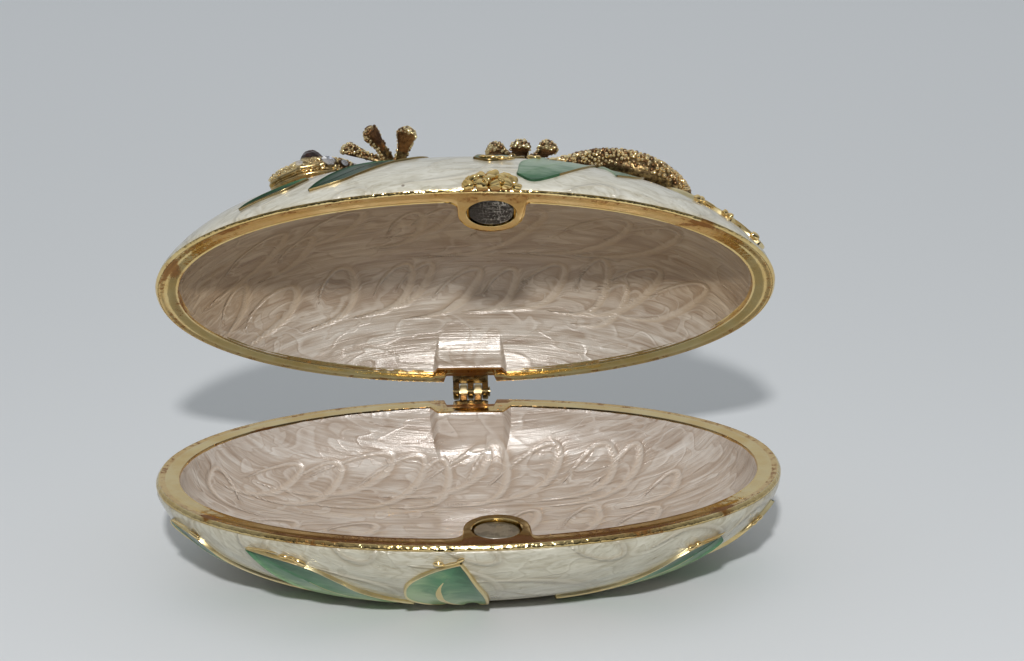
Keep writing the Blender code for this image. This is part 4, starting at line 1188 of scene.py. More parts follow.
add_leaves("base_leaves", BASE_LEAVES, BASE_OUTER, in_base, "base", leaf_gold, leaf_green)
add_leaves("lid_leaves", LID_LEAVES, LID_OUTER, in_lid, "lid", shaded_edge_gold, lid_green, 0.7, 0.25)
add_leaves("bud_petals", BUD_PETALS, LID_OUTER, in_lid, "lid", leaf_gold, petal_cream)

# %% [markdown]
# ## Spurs and beads
#
# Where a leaf's gold wall ends, the caster's modelling wax was pinched into a little spur of
# beads. Each spur is a tube carried along a line on the dome, its radius a row of rounded swells
# that fade to nothing at both ends.


# %% Spurs
def tube(path, radii, up, sides=14):
    """Circles of given radii round a path; up gives each circle its start direction."""
    along = np.gradient(path, axis=-2)
    side = unit(np.cross(along, up))
    over = unit(np.cross(side, along))
    turn = full_turn(sides)[:, None]
    ring_way = side[..., None, :] * np.cos(turn) + over[..., None, :] * np.sin(turn)
    return path[..., None, :] + ring_way * radii[..., None, None]


SPUR_LIFT = 0.62


def spur(start, stop, dome, beads, size, bend=0.0):
    """A beaded tube from one (angle, height) of a dome to another.

    Its radius follows |sin| of the way along, once for each bead, and fades at both ends.
    """
    t = np.linspace(0, 1, 60)
    angle = np.radians(start[0] + (stop[0] - start[0]) * t)
    height = start[1] + (stop[1] - start[1]) * t + bend * np.sin(math.pi * t)
    line = dome_point(angle, height, dome)
    normal = dome_normal(line, dome)
    swell = np.abs(np.sin(math.pi * beads * t)) ** 0.7
    radii = size * np.minimum(1, 6 * np.minimum(t, 1 - t)) * (0.45 + 0.55 * swell)
    radii[[0, -1]] = 0.0
    return tube(line + normal * SPUR_LIFT, radii, normal)


# Spurs: start and stop as (angle, height), how many beads, radius, bend.
BASE_SPURS = [
    ((-124.4, 2.9), (-120.4, 3.3), 2, 0.34, 0.0), ((-121.2, 3.2), (-118.9, 4.3), 1, 0.42, 0.0),
    ((-132.5, 2.7), (-124.0, 2.6), 1, 0.16, -0.2), ((-95.4, 2.5), (-93.4, 2.6), 1, 0.42, 0.0),
    ((-93.8, 2.9), (-91.0, 2.2), 1, 0.22, 0.0), ((-91.5, 2.3), (-90.2, 1.6), 1, 0.34, 0.0),
    ((-47.0, 4.7), (-43.6, 3.9), 2, 0.44, 0.0), ((-44.0, 3.8), (-37.0, 3.4), 1, 0.18, 0.2),
    ((-150.0, 2.9), (-146.4, 3.7), 1, 0.34, 0.0), ((-158.0, 2.6), (-149.0, 2.4), 1, 0.16, -0.2),
    ((-24.5, 5.0), (-20.5, 4.0), 2, 0.36, 0.0), ((40.0, 3.6), (34.0, 2.6), 2, 0.40, 0.0),
    ((116.0, 3.4), (121.0, 2.6), 2, 0.40, 0.0),
]
LID_SPURS = [
    ((-38.6, 5.6), (-33.6, 6.6), 2, 0.62, 0.0), ((-33.8, 6.6), (-28.4, 6.2), 1, 0.28, 0.5),
    ((-29.4, 5.4), (-26.2, 4.6), 2, 0.62, 0.0), ((-26.4, 4.6), (-20.2, 2.6), 1, 0.18, 0.4),
    ((-21.4, 3.3), (-19.0, 2.4), 1, 0.62, 0.0), ((-86.8, 9.4), (-79.0, 8.6), 4, 0.34, 0.0),
    ((-76.0, 10.0), (-72.0, 10.4), 2, 0.34, 0.0), ((32.0, 3.6), (27.0, 3.0), 2, 0.42, 0.0),
    ((120.0, 3.8), (125.0, 3.0), 2, 0.42, 0.0),
]
for name, spurs, dome, place, body in (
    ("base_spurs", BASE_SPURS, BASE_OUTER, in_base, "base"),
    ("lid_spurs", LID_SPURS, LID_OUTER, in_lid, "lid"),
):
    grids = np.stack([spur(start, stop, dome, *rest) for start, stop, *rest in spurs])
    points, quads = stacked(grids, around=True)
    make_piece(name, place(points), quads, [bright_gold], body, slot="gold_plate")

# %% [markdown]
# ## The lizard's body
#
# The real one is a hollow lost-wax casting whose back was covered with granules. Its body is one
# tube: egg-shaped sections carried along a spine that follows the dome. The spine, widths and
# heights are a smooth run through a few stations. The mouth, lips and nostrils are pressed into
# that tube afterwards as grooves and ridges that depend on the place along the spine and the
# angle round it.

# %% Body stations and sections
BODY_SQUARENESS = 0.85
BELLY_GAP = 0.3
# Plan x and y, half width, half height and lift of the belly off the lid.
BODY_STATIONS = [
    (-31.1, -7.2, 1.2, 1.15, 1.5), (-30.0, -7.4, 3.0, 1.75, 0.8), (-27.4, -7.6, 4.2, 2.15, 0.2),
    (-24.4, -7.6, 4.7, 2.38, 0.0), (-21.0, -6.8, 4.1, 2.4, 0.0), (-17.4, -5.0, 3.1, 1.9, 0.0),
    (-13.0, -2.8, 3.8, 2.3, 0.0), (-7.0, -1.0, 4.3, 2.4, 0.0), (0.0, -0.2, 4.4, 2.4, 0.0),
    (6.5, -1.0, 4.1, 2.3, 0.0), (12.0, -3.2, 3.4, 2.3, 0.1), (17.0, -6.2, 2.5, 2.2, 0.4),
    (21.5, -8.8, 2.3, 2.2, 1.0), (26.5, -10.2, 2.2, 2.2, 1.3), (31.0, -9.4, 2.1, 2.1, 1.2),
    (34.4, -6.0, 1.9, 1.9, 0.9), (35.2, -1.6, 1.5, 1.5, 0.6), (33.2, 1.8, 1.0, 1.0, 0.4),
    (30.4, 2.4, 0.5, 0.6, 0.3),
]
LAST_STATION = len(BODY_STATIONS) - 1


def lid_top(x, y):
    """The height of the lid's dome over a point of its plan."""
    return dome_height(plan_rho(x, y), LID_OUTER)


def body_section(place, angle):
    """Points round the spine, with the signed power BODY_SQUARENESS of cosine and sine.

    Across go half width times that of the cosine, up half height times that of the sine.
    """
    def spine_at(where):
        run = through(BODY_STATIONS, where)
        height = lid_top(run[:, 0], run[:, 1]) + run[:, 4] + BELLY_GAP + run[:, 3]
        return np.column_stack([run[:, 0], run[:, 1], height]), run[:, 2], run[:, 3]

    spine, half_width, half_height = spine_at(place)
    along = spine_at(place + 0.01)[0] - spine_at(place - 0.01)[0]
    across = unit(np.cross(along, np.array([0, 0, 1.0])))
    up = unit(np.cross(across, along))
    wide = across * (powered(np.cos(angle), BODY_SQUARENESS) * half_width)[:, None]
    tall = up * (powered(np.sin(angle), BODY_SQUARENESS) * half_height)[:, None]
    return spine + wide + tall


def body_normal(place, angle):
    """Outward normals of the body, across the steps along the spine and round it."""
    ahead = body_section(place + 0.02, angle) - body_section(place - 0.02, angle)
    round_it = body_section(place, angle + 0.02) - body_section(place, angle - 0.02)
    return unit(np.cross(ahead, round_it))


def lean_of(angle):
    """How far up a direction round the body looks, in degrees: 90 on top, -90 below."""
    return np.degrees(np.arcsin(np.clip(np.sin(angle), -1, 1)))


print("spine of", len(BODY_STATIONS), "stations")

# %% Where the stones sit
# Stones: place along the spine, angle round it (90 is on top), radius in mm.
STONES = {
    "eye_stone_near": (3.05, 68, 1.75), "eye_stone_far": (3.05, 112, 1.75),
    "cheek_stone_near": (3.55, 12, 1.05), "cheek_stone_far": (3.55, 168, 1.05),
    "brow_stone_near": (2.5, 16, 0.6), "brow_stone_far": (2.5, 164, 0.6),
    "neck_stone_near_1": (4.1, 10, 0.6), "neck_stone_near_2": (4.6, 20, 0.6),
    "neck_stone_far_1": (4.1, 170, 0.6), "neck_stone_far_2": (4.6, 160, 0.6),
}
PLACES = np.array([[float(v[0]), math.radians(v[1]), v[2]] for v in STONES.values()])
STONE_SPOTS = body_section(PLACES[:, 0], PLACES[:, 1])
STONE_WAYS = body_normal(PLACES[:, 0], PLACES[:, 1])
STONE_RADII = PLACES[:, 2]
IS_EYE = STONE_RADII > 1.5
# How near to a stone's edge the granules come: right up to the eyes, a little off the small stones.
STONE_ROOM = np.where(IS_EYE, -0.15, 0.20)


def stone_gaps(points):
    """Distance of points to every stone's middle, less its radius."""
    apart = np.linalg.norm(points[:, None] - STONE_SPOTS[None], axis=-1)
    return apart - STONE_RADII


def at_nostril(place, angle, length):
    """A bell curve round either nostril."""
    return hump(place, 1.15, length) * hump(lean_of(angle), 38, 9.0)


def face_relief(place, angle, points):
    """Mouth groove between two lips, nostrils, a brow over each eye and a rim round each stone.

    Each is a bell curve of the place along the spine, of the lean, or of both, times its height.
    The mouth's line climbs from the snout and ends behind the cheek.
    """
    lean = lean_of(angle)
    head = np.clip(place / 0.4, 0, 1) * np.clip((3.9 - place) / 0.5, 0, 1)
    line = -27 + 4.0 * place
    lips = 0.26 * hump(lean, line + 13, 7.0) + 0.20 * hump(lean, line - 13, 6.0)
    mouth = lips - 0.50 * hump(lean, line, 5.0)
    brow = 0.35 * hump(place, 2.35, 0.5) * hump(lean, 48, 14.0)
    rims = ((0.22 + 0.14 * IS_EYE) * hump(stone_gaps(points), 0.12, 0.22)).max(axis=1)
    return mouth * head - 0.5 * at_nostril(place, angle, 0.22) + brow + rims


def body_grid(steps=320, sides=84):
    """The body with its relief along its normals, more rows at the head, and both ends closed."""
    places = 0.02 + (LAST_STATION - 0.04) * np.linspace(0, 1, steps) ** 1.15
    place, angle = pairs(places, full_turn(sides))
    skin = body_section(place, angle)
    skin = skin + body_normal(place, angle) * face_relief(place, angle, skin)[:, None]
    grid = skin.reshape(steps, sides, 3)
    ends = [np.repeat(grid[end].mean(axis=0)[None], sides, axis=0)[None] for end in (0, -1)]
    return np.concatenate([ends[0], grid, ends[1]])


body_points = body_grid()
print(len(STONES), "stones on a body of", body_points.shape[:2], "points")

# %% [markdown]
# ## Antique gold
#
# Antiquing is a brown stain wiped off the high places: bright on the granules and lips, dark
# between them. The skin under the granules takes the dark tone, the granules the bright one, each
# with a slow change of hue from yellow to copper.


# %% Antique finishes
COPPER = (0.94, 0.82, 0.70)


def antique_finish(name, bright, dark, share, roughness):
    """Stained gold, rubbed bright where two noises and the piece's `rubbed` together pass a share."""
    finish = Finish(name, Metallic=1.0)
    place = finish.place()
    cloud = finish.noise(place, 130.0, 3.0, 0.6)
    grain = finish.noise(place, 1500.0, 3.0, 0.6)
    rubbed = finish.note("rubbed") * 0.14
    worn = (cloud * 0.6 + grain * 0.4 + rubbed).ramp(share - 0.12, share + 0.12)
    hue = finish.noise(place, 90.0, 2.0).ramp(0.45, 0.7)
    tone = finish.blend(hue, bright, tinted(bright, COPPER))
    finish.feed("Base Color", finish.blend(worn, dark, tone))
    finish.feed("Roughness", roughness + (1 - worn) * 0.25)
    finish.feed("Normal", finish.bump(grain, 0.03))
    return finish


skin_gold = antique_finish("antique gold skin", (0.74, 0.57, 0.29), (0.07, 0.042, 0.02), 0.58, 0.16)
bead_gold = antique_finish("antique gold granules", (1.0, 0.82, 0.48), (0.20, 0.105, 0.045), 0.37, 0.06)
spoon_gold = antique_finish("bronze spoon", (0.46, 0.24, 0.10), (0.10, 0.045, 0.018), 0.52, 0.18)

# The head is rubbed brighter than the rest: fully for three stations, fading over two more.
from_snout = np.linspace(0, LAST_STATION, len(body_points))[:, None]
rubbed = np.repeat(np.clip((5.0 - from_snout) / 2, 0, 1), body_points.shape[1])
make_piece("lizard_body", in_lid(body_points), grid_quads(*body_points.shape[:2]), [skin_gold], "lid",
           ["lizard"], "antique_gold", notes={"rubbed": rubbed})

# %% [markdown]
# ## Legs and toes
#
# A leg is a tube through three points over the dome. A toe is a tube that swells to a round tip;
# its lower face is hollowed like a spoon, which shows on the raised toes. The section is a circle
# whose face side is pressed in by a share of its radius.

# %% Limbs
# Plan x, y and height over the lid, then the radius. A toe has a root, a tip and two radii, and
# its face is the way in which its hollow side looks.
LIMBS = {
    "near_hand": {
        "arm": [(-12.5, -2.6, 2.4, 1.7), (-13.0, -7.4, 2.3, 1.5), (-11.2, -11.0, 2.1, 1.7)],
        "toes": [((-12.6, -11.2, 2.2), (-19.6, -12.6, 5.3)), ((-11.4, -11.4, 2.2), (-14.9, -16.8, 7.6)),
                 ((-10.3, -10.2, 2.1), (-8.6, -16.6, 6.6))],
        "faces": [(0.30, 0.55, -0.78), (0.90, 0.05, -0.40), (0.05, -0.80, -0.60)],
        "radii": (0.95, 1.4),
    },
    "far_hand": {
        "arm": [(-12.0, -2.0, 2.4, 1.7), (-12.6, 4.6, 2.3, 1.5), (-12.8, 9.4, 2.1, 1.7)],
        "toes": [((-13.4, 9.8, 2.1), (-18.6, 13.0, 2.8)), ((-12.8, 10.0, 2.1), (-14.0, 16.2, 3.2)),
                 ((-11.8, 9.6, 2.1), (-8.4, 14.8, 2.8))],
        "radii": (0.95, 1.4),
    },
    "near_foot": {
        "arm": [(10.0, -2.0, 2.2, 1.8), (11.6, -6.4, 2.1, 1.6), (9.6, -9.6, 2.1, 1.8)],
        "toes": [((8.8, -9.8, 2.1), (4.3, -14.4, 2.9)), ((9.6, -10.2, 2.1), (9.2, -15.6, 3.5)),
                 ((10.8, -9.8, 2.1), (14.5, -14.6, 3.9))],
        "radii": (1.0, 1.5),
    },
    "far_foot": {
        "arm": [(8.0, 0.0, 2.2, 1.8), (10.6, 6.4, 2.1, 1.6), (12.0, 10.4, 2.1, 1.8)],
        "toes": [((11.2, 10.8, 2.1), (6.8, 14.8, 2.6)), ((12.0, 11.2, 2.1), (12.2, 17.0, 3.0)),
                 ((12.9, 10.8, 2.1), (17.2, 14.6, 2.8))],
        "radii": (1.0, 1.5),
    },
}
LIMB_STEPS, LIMB_SIDES = 44, 28
TOE_FACE, ARM_FACE = (0.0, 0.30, -0.95), (0.0, 0.0, -1.0)
TOE_HOLLOW, TOE_FLAT = 0.34, 0.62


def over_lid(spots):
    """Spots of plan x, y and height over the lid's dome, raised onto it."""
    spots = np.asarray(spots, dtype=float)
    top = lid_top(spots[..., 0], spots[..., 1])
    return np.stack([spots[..., 0], spots[..., 1], top + spots[..., 2]], axis=-1)


def limb_path(knots, radii):
    """A smooth run through knots, with round ends: the radius falls as a circle's edge does."""
    table = np.column_stack([knots, radii])
    run = through(table, np.linspace(0, len(table) - 1, LIMB_STEPS))
    path, radius = run[:, :3], run[:, 3]
    length = run_length(path)
    for end, reach in ((length, radius[0]), (length[-1] - length, radius[-1])):
        near = np.clip(end / reach, 0, 1)
        radius = radius * np.sqrt(np.clip(1 - (1 - near) ** 2, 0, 1))
    return path, radius


def limb_frame(path, face):
    """Along, across and face directions of a limb, the face as near as can be to a given way."""
    along = unit(np.gradient(path, axis=0))
    across = unit(np.cross(along, face))
    return along, across, np.cross(across, along)


def limb_skin(path, radius, frame_ways, angle, hollow, flat):
    """Circle points; on the face side the radius shrinks by a hollow that deepens to the middle.

    There the height is flat * sine - hollow * sine ** 2 of the angle, elsewhere the sine alone.
    """
    _, across, toward = frame_ways
    press = np.clip(np.sin(angle), 0, 1)
    rise = np.where(np.sin(angle) > 0, flat, 1.0) * np.sin(angle) - hollow * press**2
    offset = across * np.cos(angle)[:, None] + toward * rise[:, None]
    return path + offset * radius[:, None]


def limb_grid(path, radius, ways, hollow, flat):
    """One limb's whole skin: every station of its path with every angle round it."""
    rows, angles = pairs(np.arange(LIMB_STEPS), full_turn(LIMB_SIDES))
    picked = tuple(way[rows] for way in ways)
    skin = limb_skin(path[rows], radius[rows], picked, angles, hollow, flat)
    return skin.reshape(LIMB_STEPS, LIMB_SIDES, 3)


print(len(LIMBS), "limbs of an arm and three toes")

# %% Grow the limbs
LIMB_LIST = []
for limb in LIMBS.values():
    arm = np.array(limb["arm"])
    path, radius = limb_path(over_lid(arm[:, :3]), arm[:, 3])
    LIMB_LIST.append((path, radius, limb_frame(path, ARM_FACE), 0.0, 1.0))
    slim, tip_size = limb["radii"]
    for (root, tip), face in zip(limb["toes"], limb.get("faces", [TOE_FACE] * 3)):
        ends = over_lid([root, tip])
        knots = ends[0] + (ends[1] - ends[0]) * np.array([0.0, 0.45, 0.78, 1.0])[:, None]
        path, radius = limb_path(knots, [slim, slim * 0.95, tip_size * 1.05, tip_size])
        LIMB_LIST.append((path, radius, limb_frame(path, face), TOE_HOLLOW, TOE_FLAT))

points, quads = stacked(np.stack([limb_grid(*limb) for limb in LIMB_LIST]), around=True)
# The hollow of a toe is bronze, from a quarter of its length to near the tip.
row, column = np.arange(LIMB_STEPS - 1)[:, None], np.arange(LIMB_SIDES)[None]
spoon = (row > LIMB_STEPS * 0.25) & (row < LIMB_STEPS * 0.9)
spoon = spoon & (column > 1) & (column < LIMB_SIDES // 2 - 2)
choice = np.concatenate([(spoon & (hollow > 0)).ravel() for *_, hollow, _ in LIMB_LIST])
make_piece("lizard_limbs", in_lid(points), quads, [skin_gold, spoon_gold], "lid", ["lizard"],
           "antique_gold", choice=choice)

# %% [markdown]
# ## Granules
#
# A granule is a small dome of a few dozen faces. The jeweller sets them one by one: here every
# granule is the same dome, copied by one array product to its place, turned to stand on the skin
# and given its own size. Their places are rows along the body, each shifted by half a step, with a
# little disorder. Lips, stones and the belly stay bare.


# %% Setting granules
def crossways(ways):
    """Two directions across each of the given ones, and across one another."""
    helper = np.where(np.abs(ways[..., :1]) < 0.8, [1.0, 0, 0], [0, 1.0, 0])
    side = unit(np.cross(ways, helper))
    return side, np.cross(ways, side)


GRANULE_SIDES, GRANULE_TILTS = 6, (0.0, 0.65, 1.25, 1.9)


def granule_meshes(spots, ways, sizes):
    """Domes: middle + size * (sin tilt * (cos turn * side + sin turn * over) + cos tilt * way)."""
    side, over = crossways(ways)
    turn = full_turn(GRANULE_SIDES)[:, None, None]
    tilt = np.array(GRANULE_TILTS)[:, None, None, None]
    dome = np.sin(tilt) * (np.cos(turn) * side + np.sin(turn) * over) + np.cos(tilt) * ways
    return stacked(np.moveaxis(spots + dome * sizes[:, None], 2, 0), around=True)


def lattice(length, girth, step, rng):
    """Places in a honeycomb, as shares of a length and of a girth.

    Rows are 0.87 of a step apart and every other one is shifted by half a step. Each place strays
    by up to a third of a step either way.
    """
    rows, columns = int(length / (step * 0.87)), int(girth / step)
    i, j = pairs(np.arange(rows), np.arange(columns))
    s = (i + 0.5 + rng.uniform(-0.32, 0.32, i.size)) / rows
    c = (j + 0.5 * (i % 2) + 0.25 + rng.uniform(-0.32, 0.32, i.size)) / columns
    return s, c


def kept_bare(place, angle, spot):
    """True under the lips and on the belly, in a nostril, and close to a stone."""
    lean = lean_of(angle)
    lip, belly = np.interp(place, [0, 1.6, 2.8], [0, -4, -18]), np.where(place > 11, -34, -16)
    below = lean < np.where(place < 3.7, lip, belly)
    by_stone = (stone_gaps(spot) - STONE_ROOM).min(axis=1) < 0
    return below | by_stone | (at_nostril(place, angle, 0.2) > 0.6)


print("a granule has", GRANULE_SIDES * (len(GRANULE_TILTS) - 1), "quads")

# %% Granules of the body
# Stretches of the body: first and last station, girth, step and granule radius in mm.
STRETCHES = [
    (0.25, 5.0, 14.0, 0.52, 0.26), (5.0, 11.5, 12.5, 0.64, 0.34), (11.5, 18.0, 10.5, 0.60, 0.34),
]
rng = np.random.default_rng(21)
along_spine = np.linspace(0, LAST_STATION, 400)
spine_length = run_length(through(BODY_STATIONS, along_spine)[:, :2])
granules = []
for low, high, girth, step, size in STRETCHES:
    start, stop = np.interp([low, high], along_spine, spine_length)
    s, c = lattice(stop - start, girth, step, rng)
    place = np.interp(start + s * (stop - start), spine_length, along_spine)
    place = np.clip(place, 0.05, LAST_STATION - 0.05)
    angle = math.radians(90) + (c - 0.5) * math.radians(272)
    spot = body_section(place, angle)
    keep = ~kept_bare(place, angle, spot)
    sizes = size * rng.uniform(0.72, 1.32, keep.sum())
    granules.append((spot[keep], body_normal(place, angle)[keep], sizes))
print(sum(len(sizes) for *_, sizes in granules), "granules on the body")

# %% Granules of the limbs
# Between two stations of a limb, its path, radius and directions are mixed by the share of the
# way. At the tip the granules turn to look along the limb. The hollow sides stay bare.
LIMB_GIRTH, LIMB_STEP, LIMB_GRANULE = 2 * math.pi * 1.25, 0.56, 0.26
for path, radius, ways, hollow, flat in LIMB_LIST:
    s, c = lattice(run_length(path)[-1], LIMB_GIRTH, LIMB_STEP, rng)
    angle = 2 * math.pi * c
    row = s * (LIMB_STEPS - 1)
    low = np.minimum(row.astype(int), LIMB_STEPS - 2)
    share = (row - low)[:, None]
    here, *picked = (line[low] * (1 - share) + line[low + 1] * share for line in (path, *ways))
    thick = radius[low] * (1 - share[:, 0]) + radius[low + 1] * share[:, 0]
    spot = limb_skin(here, thick, picked, angle, hollow, flat)
    way = picked[1] * np.cos(angle)[:, None] + picked[2] * np.sin(angle)[:, None]
    tipward = np.clip((s - 0.93) / 0.07, 0, 1)[:, None]
    way = unit(way * (1 - 0.6 * tipward) + picked[0] * tipward)
    keep = (np.sin(angle) < 0.2) | (s > 0.86) if hollow else (np.sin(angle) < 0.3)
    keep &= thick > 0.1
    granules.append((spot[keep], way[keep], LIMB_GRANULE * rng.uniform(0.75, 1.35, keep.sum())))

spots, ways, sizes = (np.concatenate(part) for part in zip(*granules))
points, quads = granule_meshes(spots, ways, sizes)
# Each granule is rubbed differently, those of the head more evenly and more.
on_head = np.clip((-18.0 - spots[:, 0]) / 4.0, 0, 1)
rubbed = rng.uniform(-2.2, 1.9, len(spots)) * (1 - 0.2 * on_head) + 0.8 * on_head
rubbed = np.repeat(rubbed, len(points) // len(spots))
make_piece("lizard_granules", in_lid(points), quads, [bead_gold], "lid", ["lizard"], "antique_gold",
           notes={"rubbed": rubbed})
print(len(spots), "granules")

# %% [markdown]
# ## Stones
#
# The eyes are dark red faceted glass, the small stones clear crystal. A cut stone is rings of
# facets: a flat table, two rings of crown facets turned by half a step, the girdle, and a pointed
# back, which is foiled on the clear ones. Flat shading keeps every facet a mirror. Clear glass
# needs no nodes beyond plain numbers.

# %% Cutting the stones
RED_DARK, RED_LIGHT = (0.012, 0.004, 0.003), (0.075, 0.016, 0.008)
# The foil's cells are dark, white or violet at random: painted reflections in the crystals' facets.
FOIL_GLINT_STOPS = [(0.18, (0.05, 0.05, 0.07)), (0.42, (1.0, 1.0, 1.0)), (0.28, (0.60, 0.66, 0.95))]
red_glass = Finish("dark red glass", Roughness=0.05, IOR=1.4)
red_depth = red_glass.noise(red_glass.place(), 500.0, 2.0)
red_glass.feed("Base Color", red_glass.blend(red_depth.ramp(0.35, 0.7), RED_DARK, RED_LIGHT))
clear_crystal = Finish("clear crystal", Roughness=0.02, IOR=1.6, Alpha=0.3, Coat_Weight=1.0)
clear_crystal.feed("Base Color", (0.80, 0.83, 0.90))
foil = Finish("silver foil", Roughness=0.15)
facet_glint = foil.node("SeparateColor", {}, {0: foil.cells(foil.place(), 1500.0, "F1", "Color")}, 0)
foil.feed("Base Color", foil.colors(facet_glint, FOIL_GLINT_STOPS))
foil.feed("Metallic", 1 - facet_glint.ramp(0.15, 0.35))


def cut_stone(middle, way, radius, sides, dome):
    """Rings from table to point: (radius share, height share, turn in half facets)."""
    rings = [(0.0, dome, 0), (0.50, dome, 0), (0.82, dome * 0.62, 1)]
    rings += [(1.0, 0.12, 0), (1.0, 0.0, 0), (0.0, -0.75, 0)]
    side, over = crossways(way)
    size, height, twist = (np.array(column)[:, None, None] for column in zip(*rings))
    angle = full_turn(sides)[None, :, None] + twist * math.pi / sides
    return middle + radius * (size * (np.cos(angle) * side + np.sin(angle) * over) + height * way)


# Facets round, dome height, size over the seat, lift, finish and slot. The last ring of facets is
# the back, with foil under the clear stones.
EYE_CUT = (10, 0.86, 1.18, -0.06, red_glass, "red_glass")
CRYSTAL_CUT = (8, 0.5, 1.1, 0.08, clear_crystal, "clear_crystal")
for name, eye, radius, spot, way in zip(STONES, IS_EYE, STONE_RADII, STONE_SPOTS, STONE_WAYS):
    sides, dome, over_size, lift, glass, slot = EYE_CUT if eye else CRYSTAL_CUT
    radius = radius * over_size
    grid = cut_stone(spot + way * radius * lift, way, radius, sides, dome)
    facets = grid_quads(*grid.shape[:2])
    foiled = (np.arange(len(facets)) >= len(facets) - sides) & (not eye)
    gem = make_piece("cut_" + name, in_lid(grid), facets, [glass, foil], "lid", [name], slot,
                     choice=foiled)
    gem.data.shade_flat()

# %% [markdown]
# ## Thumb piece
#
# A cluster of gold nuggets over the middle of the lid's front edge. Each nugget is a ball whose
# radius is swelled by a few slow waves, so that no two are alike, and they are pushed into one
# another as drops of solder are.

# %% Nuggets
# Along the rim from the magnet, out from it, height, radius.
NUGGETS = [
    (-3.4, 0.3, 0.9, 0.95), (-2.5, 0.5, 2.0, 0.95), (-1.3, 0.6, 0.9, 1.0), (-1.5, 0.3, 2.9, 0.95),
    (-0.1, 0.6, 2.0, 1.05), (0.3, 0.2, 3.4, 1.05), (0.8, 0.7, 0.8, 1.0), (1.6, 0.5, 2.4, 1.0),
    (2.2, 0.2, 3.1, 0.85), (2.4, 0.7, 1.0, 0.9), (3.3, 0.4, 1.9, 0.95), (3.9, 0.2, 0.8, 0.8),
    (-3.2, 0.1, 2.6, 0.6), (-0.6, 1.3, 1.4, 0.6), (1.5, 1.3, 1.5, 0.55), (-2.2, 1.1, 1.3, 0.5),
]


def nugget(along, out, height, radius, seed):
    """A ball: radius * (1 + waves), the waves being sines of the direction's dot products."""
    rng = np.random.default_rng(seed)
    x = MAGNET["x"] + along
    rho = float(dome_rho(max(height, 0.2), LID_OUTER))
    middle = np.array([x, -HALF_WIDTH * math.sqrt(1 - (x / HALF_LENGTH) ** 2) * rho - out, height])
    tilt = np.linspace(0, math.pi, 26)[:, None, None]
    turn = full_turn(36)[None, :, None]
    flat = np.concatenate([np.cos(turn), np.sin(turn)], axis=-1)
    way = np.concatenate([np.sin(tilt) * flat, np.cos(tilt) + 0 * turn], axis=-1)
    waves = sum(0.06 * np.sin(way @ rng.normal(0, 3.2, 3) + rng.uniform(0, 6)) for _ in range(6))
    ball = middle + way * (radius * (1 + waves))[..., None]
    ball[..., 2] = np.maximum(ball[..., 2], 0.1)
    return ball


grids = np.stack([nugget(*spec, seed) for seed, spec in enumerate(NUGGETS)])
# The creases between nuggets are darkened and warmed with the tarnish colour, a painted shade: the
# share of each ball that looks in towards the lid.
outward = grids.mean(axis=(1, 2), keepdims=True)[..., 1] - grids[..., 1]
outward /= np.abs(outward).max(axis=(1, 2), keepdims=True)
crease_shade = 1.4 * np.clip(0.40 - outward, 0, 0.7).ravel()
points, quads = stacked(grids, around=True)
make_piece("thumb_nuggets", in_lid(points), quads, [thumb_gold], "lid", ["thumb_piece"], "gold_plate",
           notes={"stain": crease_shade})

# %% [markdown]
# ## Magnets
#
# Two discs, turned from a profile with a small bevel. The base's is grey and sits a little askew
# in its hole, the lid's is nearly black. Both are scratched: a noise stretched along one way and
# read at two crossing angles gives the scratches.


# %% Magnets
def magnet_finish(name, light, dark, metallic, thin, first):
    """Dark metal with scratches where either of two stretched noises passes a share, thin.

    The scratches begin at x = first millimetres and reach their full strength 5 mm on. dark holds
    two tones, for clean metal and for stained.
    """
    finish = Finish(name, Metallic=metallic)
    place = finish.place()
    grain = finish.cells(place, 3300.0)
    scratch = finish.streaks(place, (500.0, 5200.0, 1800.0), 2.0, 0.7, 0.5)
    cross = finish.streaks(place, (3800.0, 700.0, 1600.0), 2.0, 0.7, 0.7)
    mark = scratch.ramp(thin, thin + 0.08) * 0.7 + cross.ramp(thin, thin + 0.08) * 0.7
    x = finish.node("SeparateXYZ", {}, {0: place}, 0)
    worn = mark * x.ramp(first * MM, (first + 5.0) * MM)
    stain = finish.noise(place, 520.0, 3.0).ramp(0.50, 0.62)
    tone = finish.blend(worn, finish.blend(stain * 0.6, dark[1], dark[0]), light)
    finish.feed("Base Color", tone)
    finish.feed("Roughness", 0.30 + stain * 0.15)
    finish.feed("Normal", finish.bump(mark, 0.03, finish.bump(grain.ramp(0.0, 0.5), 0.02)))
    return finish


GREY = ((0.26, 0.24, 0.19), (0.52, 0.49, 0.41))
BLACK = ((0.010, 0.009, 0.008), (0.030, 0.027, 0.024))
grey_magnet = magnet_finish("grey magnet", (0.62, 0.58, 0.50), GREY, 1.0, 0.56, 1.0)
black_magnet = magnet_finish("black magnet", (0.75, 0.72, 0.65), BLACK, 0.6, 0.555, 1.8)


def magnet_grid(sink, tilt):
    """A profile of (radius, depth) turned about the magnet's axis, then tipped by two small slopes."""
    r, t = MAGNET["radius"], MAGNET["thick"]
    profile = [(0.0, 0.0), (r - 0.5, 0.0), (r - 0.2, 0.02), (r - 0.06, 0.09)]
    profile += [(r, 0.24), (r, t - 0.2), (r - 0.2, t), (0.0, t)]
    radius, depth = (np.array(column)[:, None] for column in zip(*profile))
    turn = full_turn(96)[None]
    x, y = radius * np.cos(turn), radius * np.sin(turn)
    height = depth + sink + tilt[0] * x + tilt[1] * y
    return np.stack([MAGNET["x"] + x, MAGNET["y"] + y, height], axis=-1)


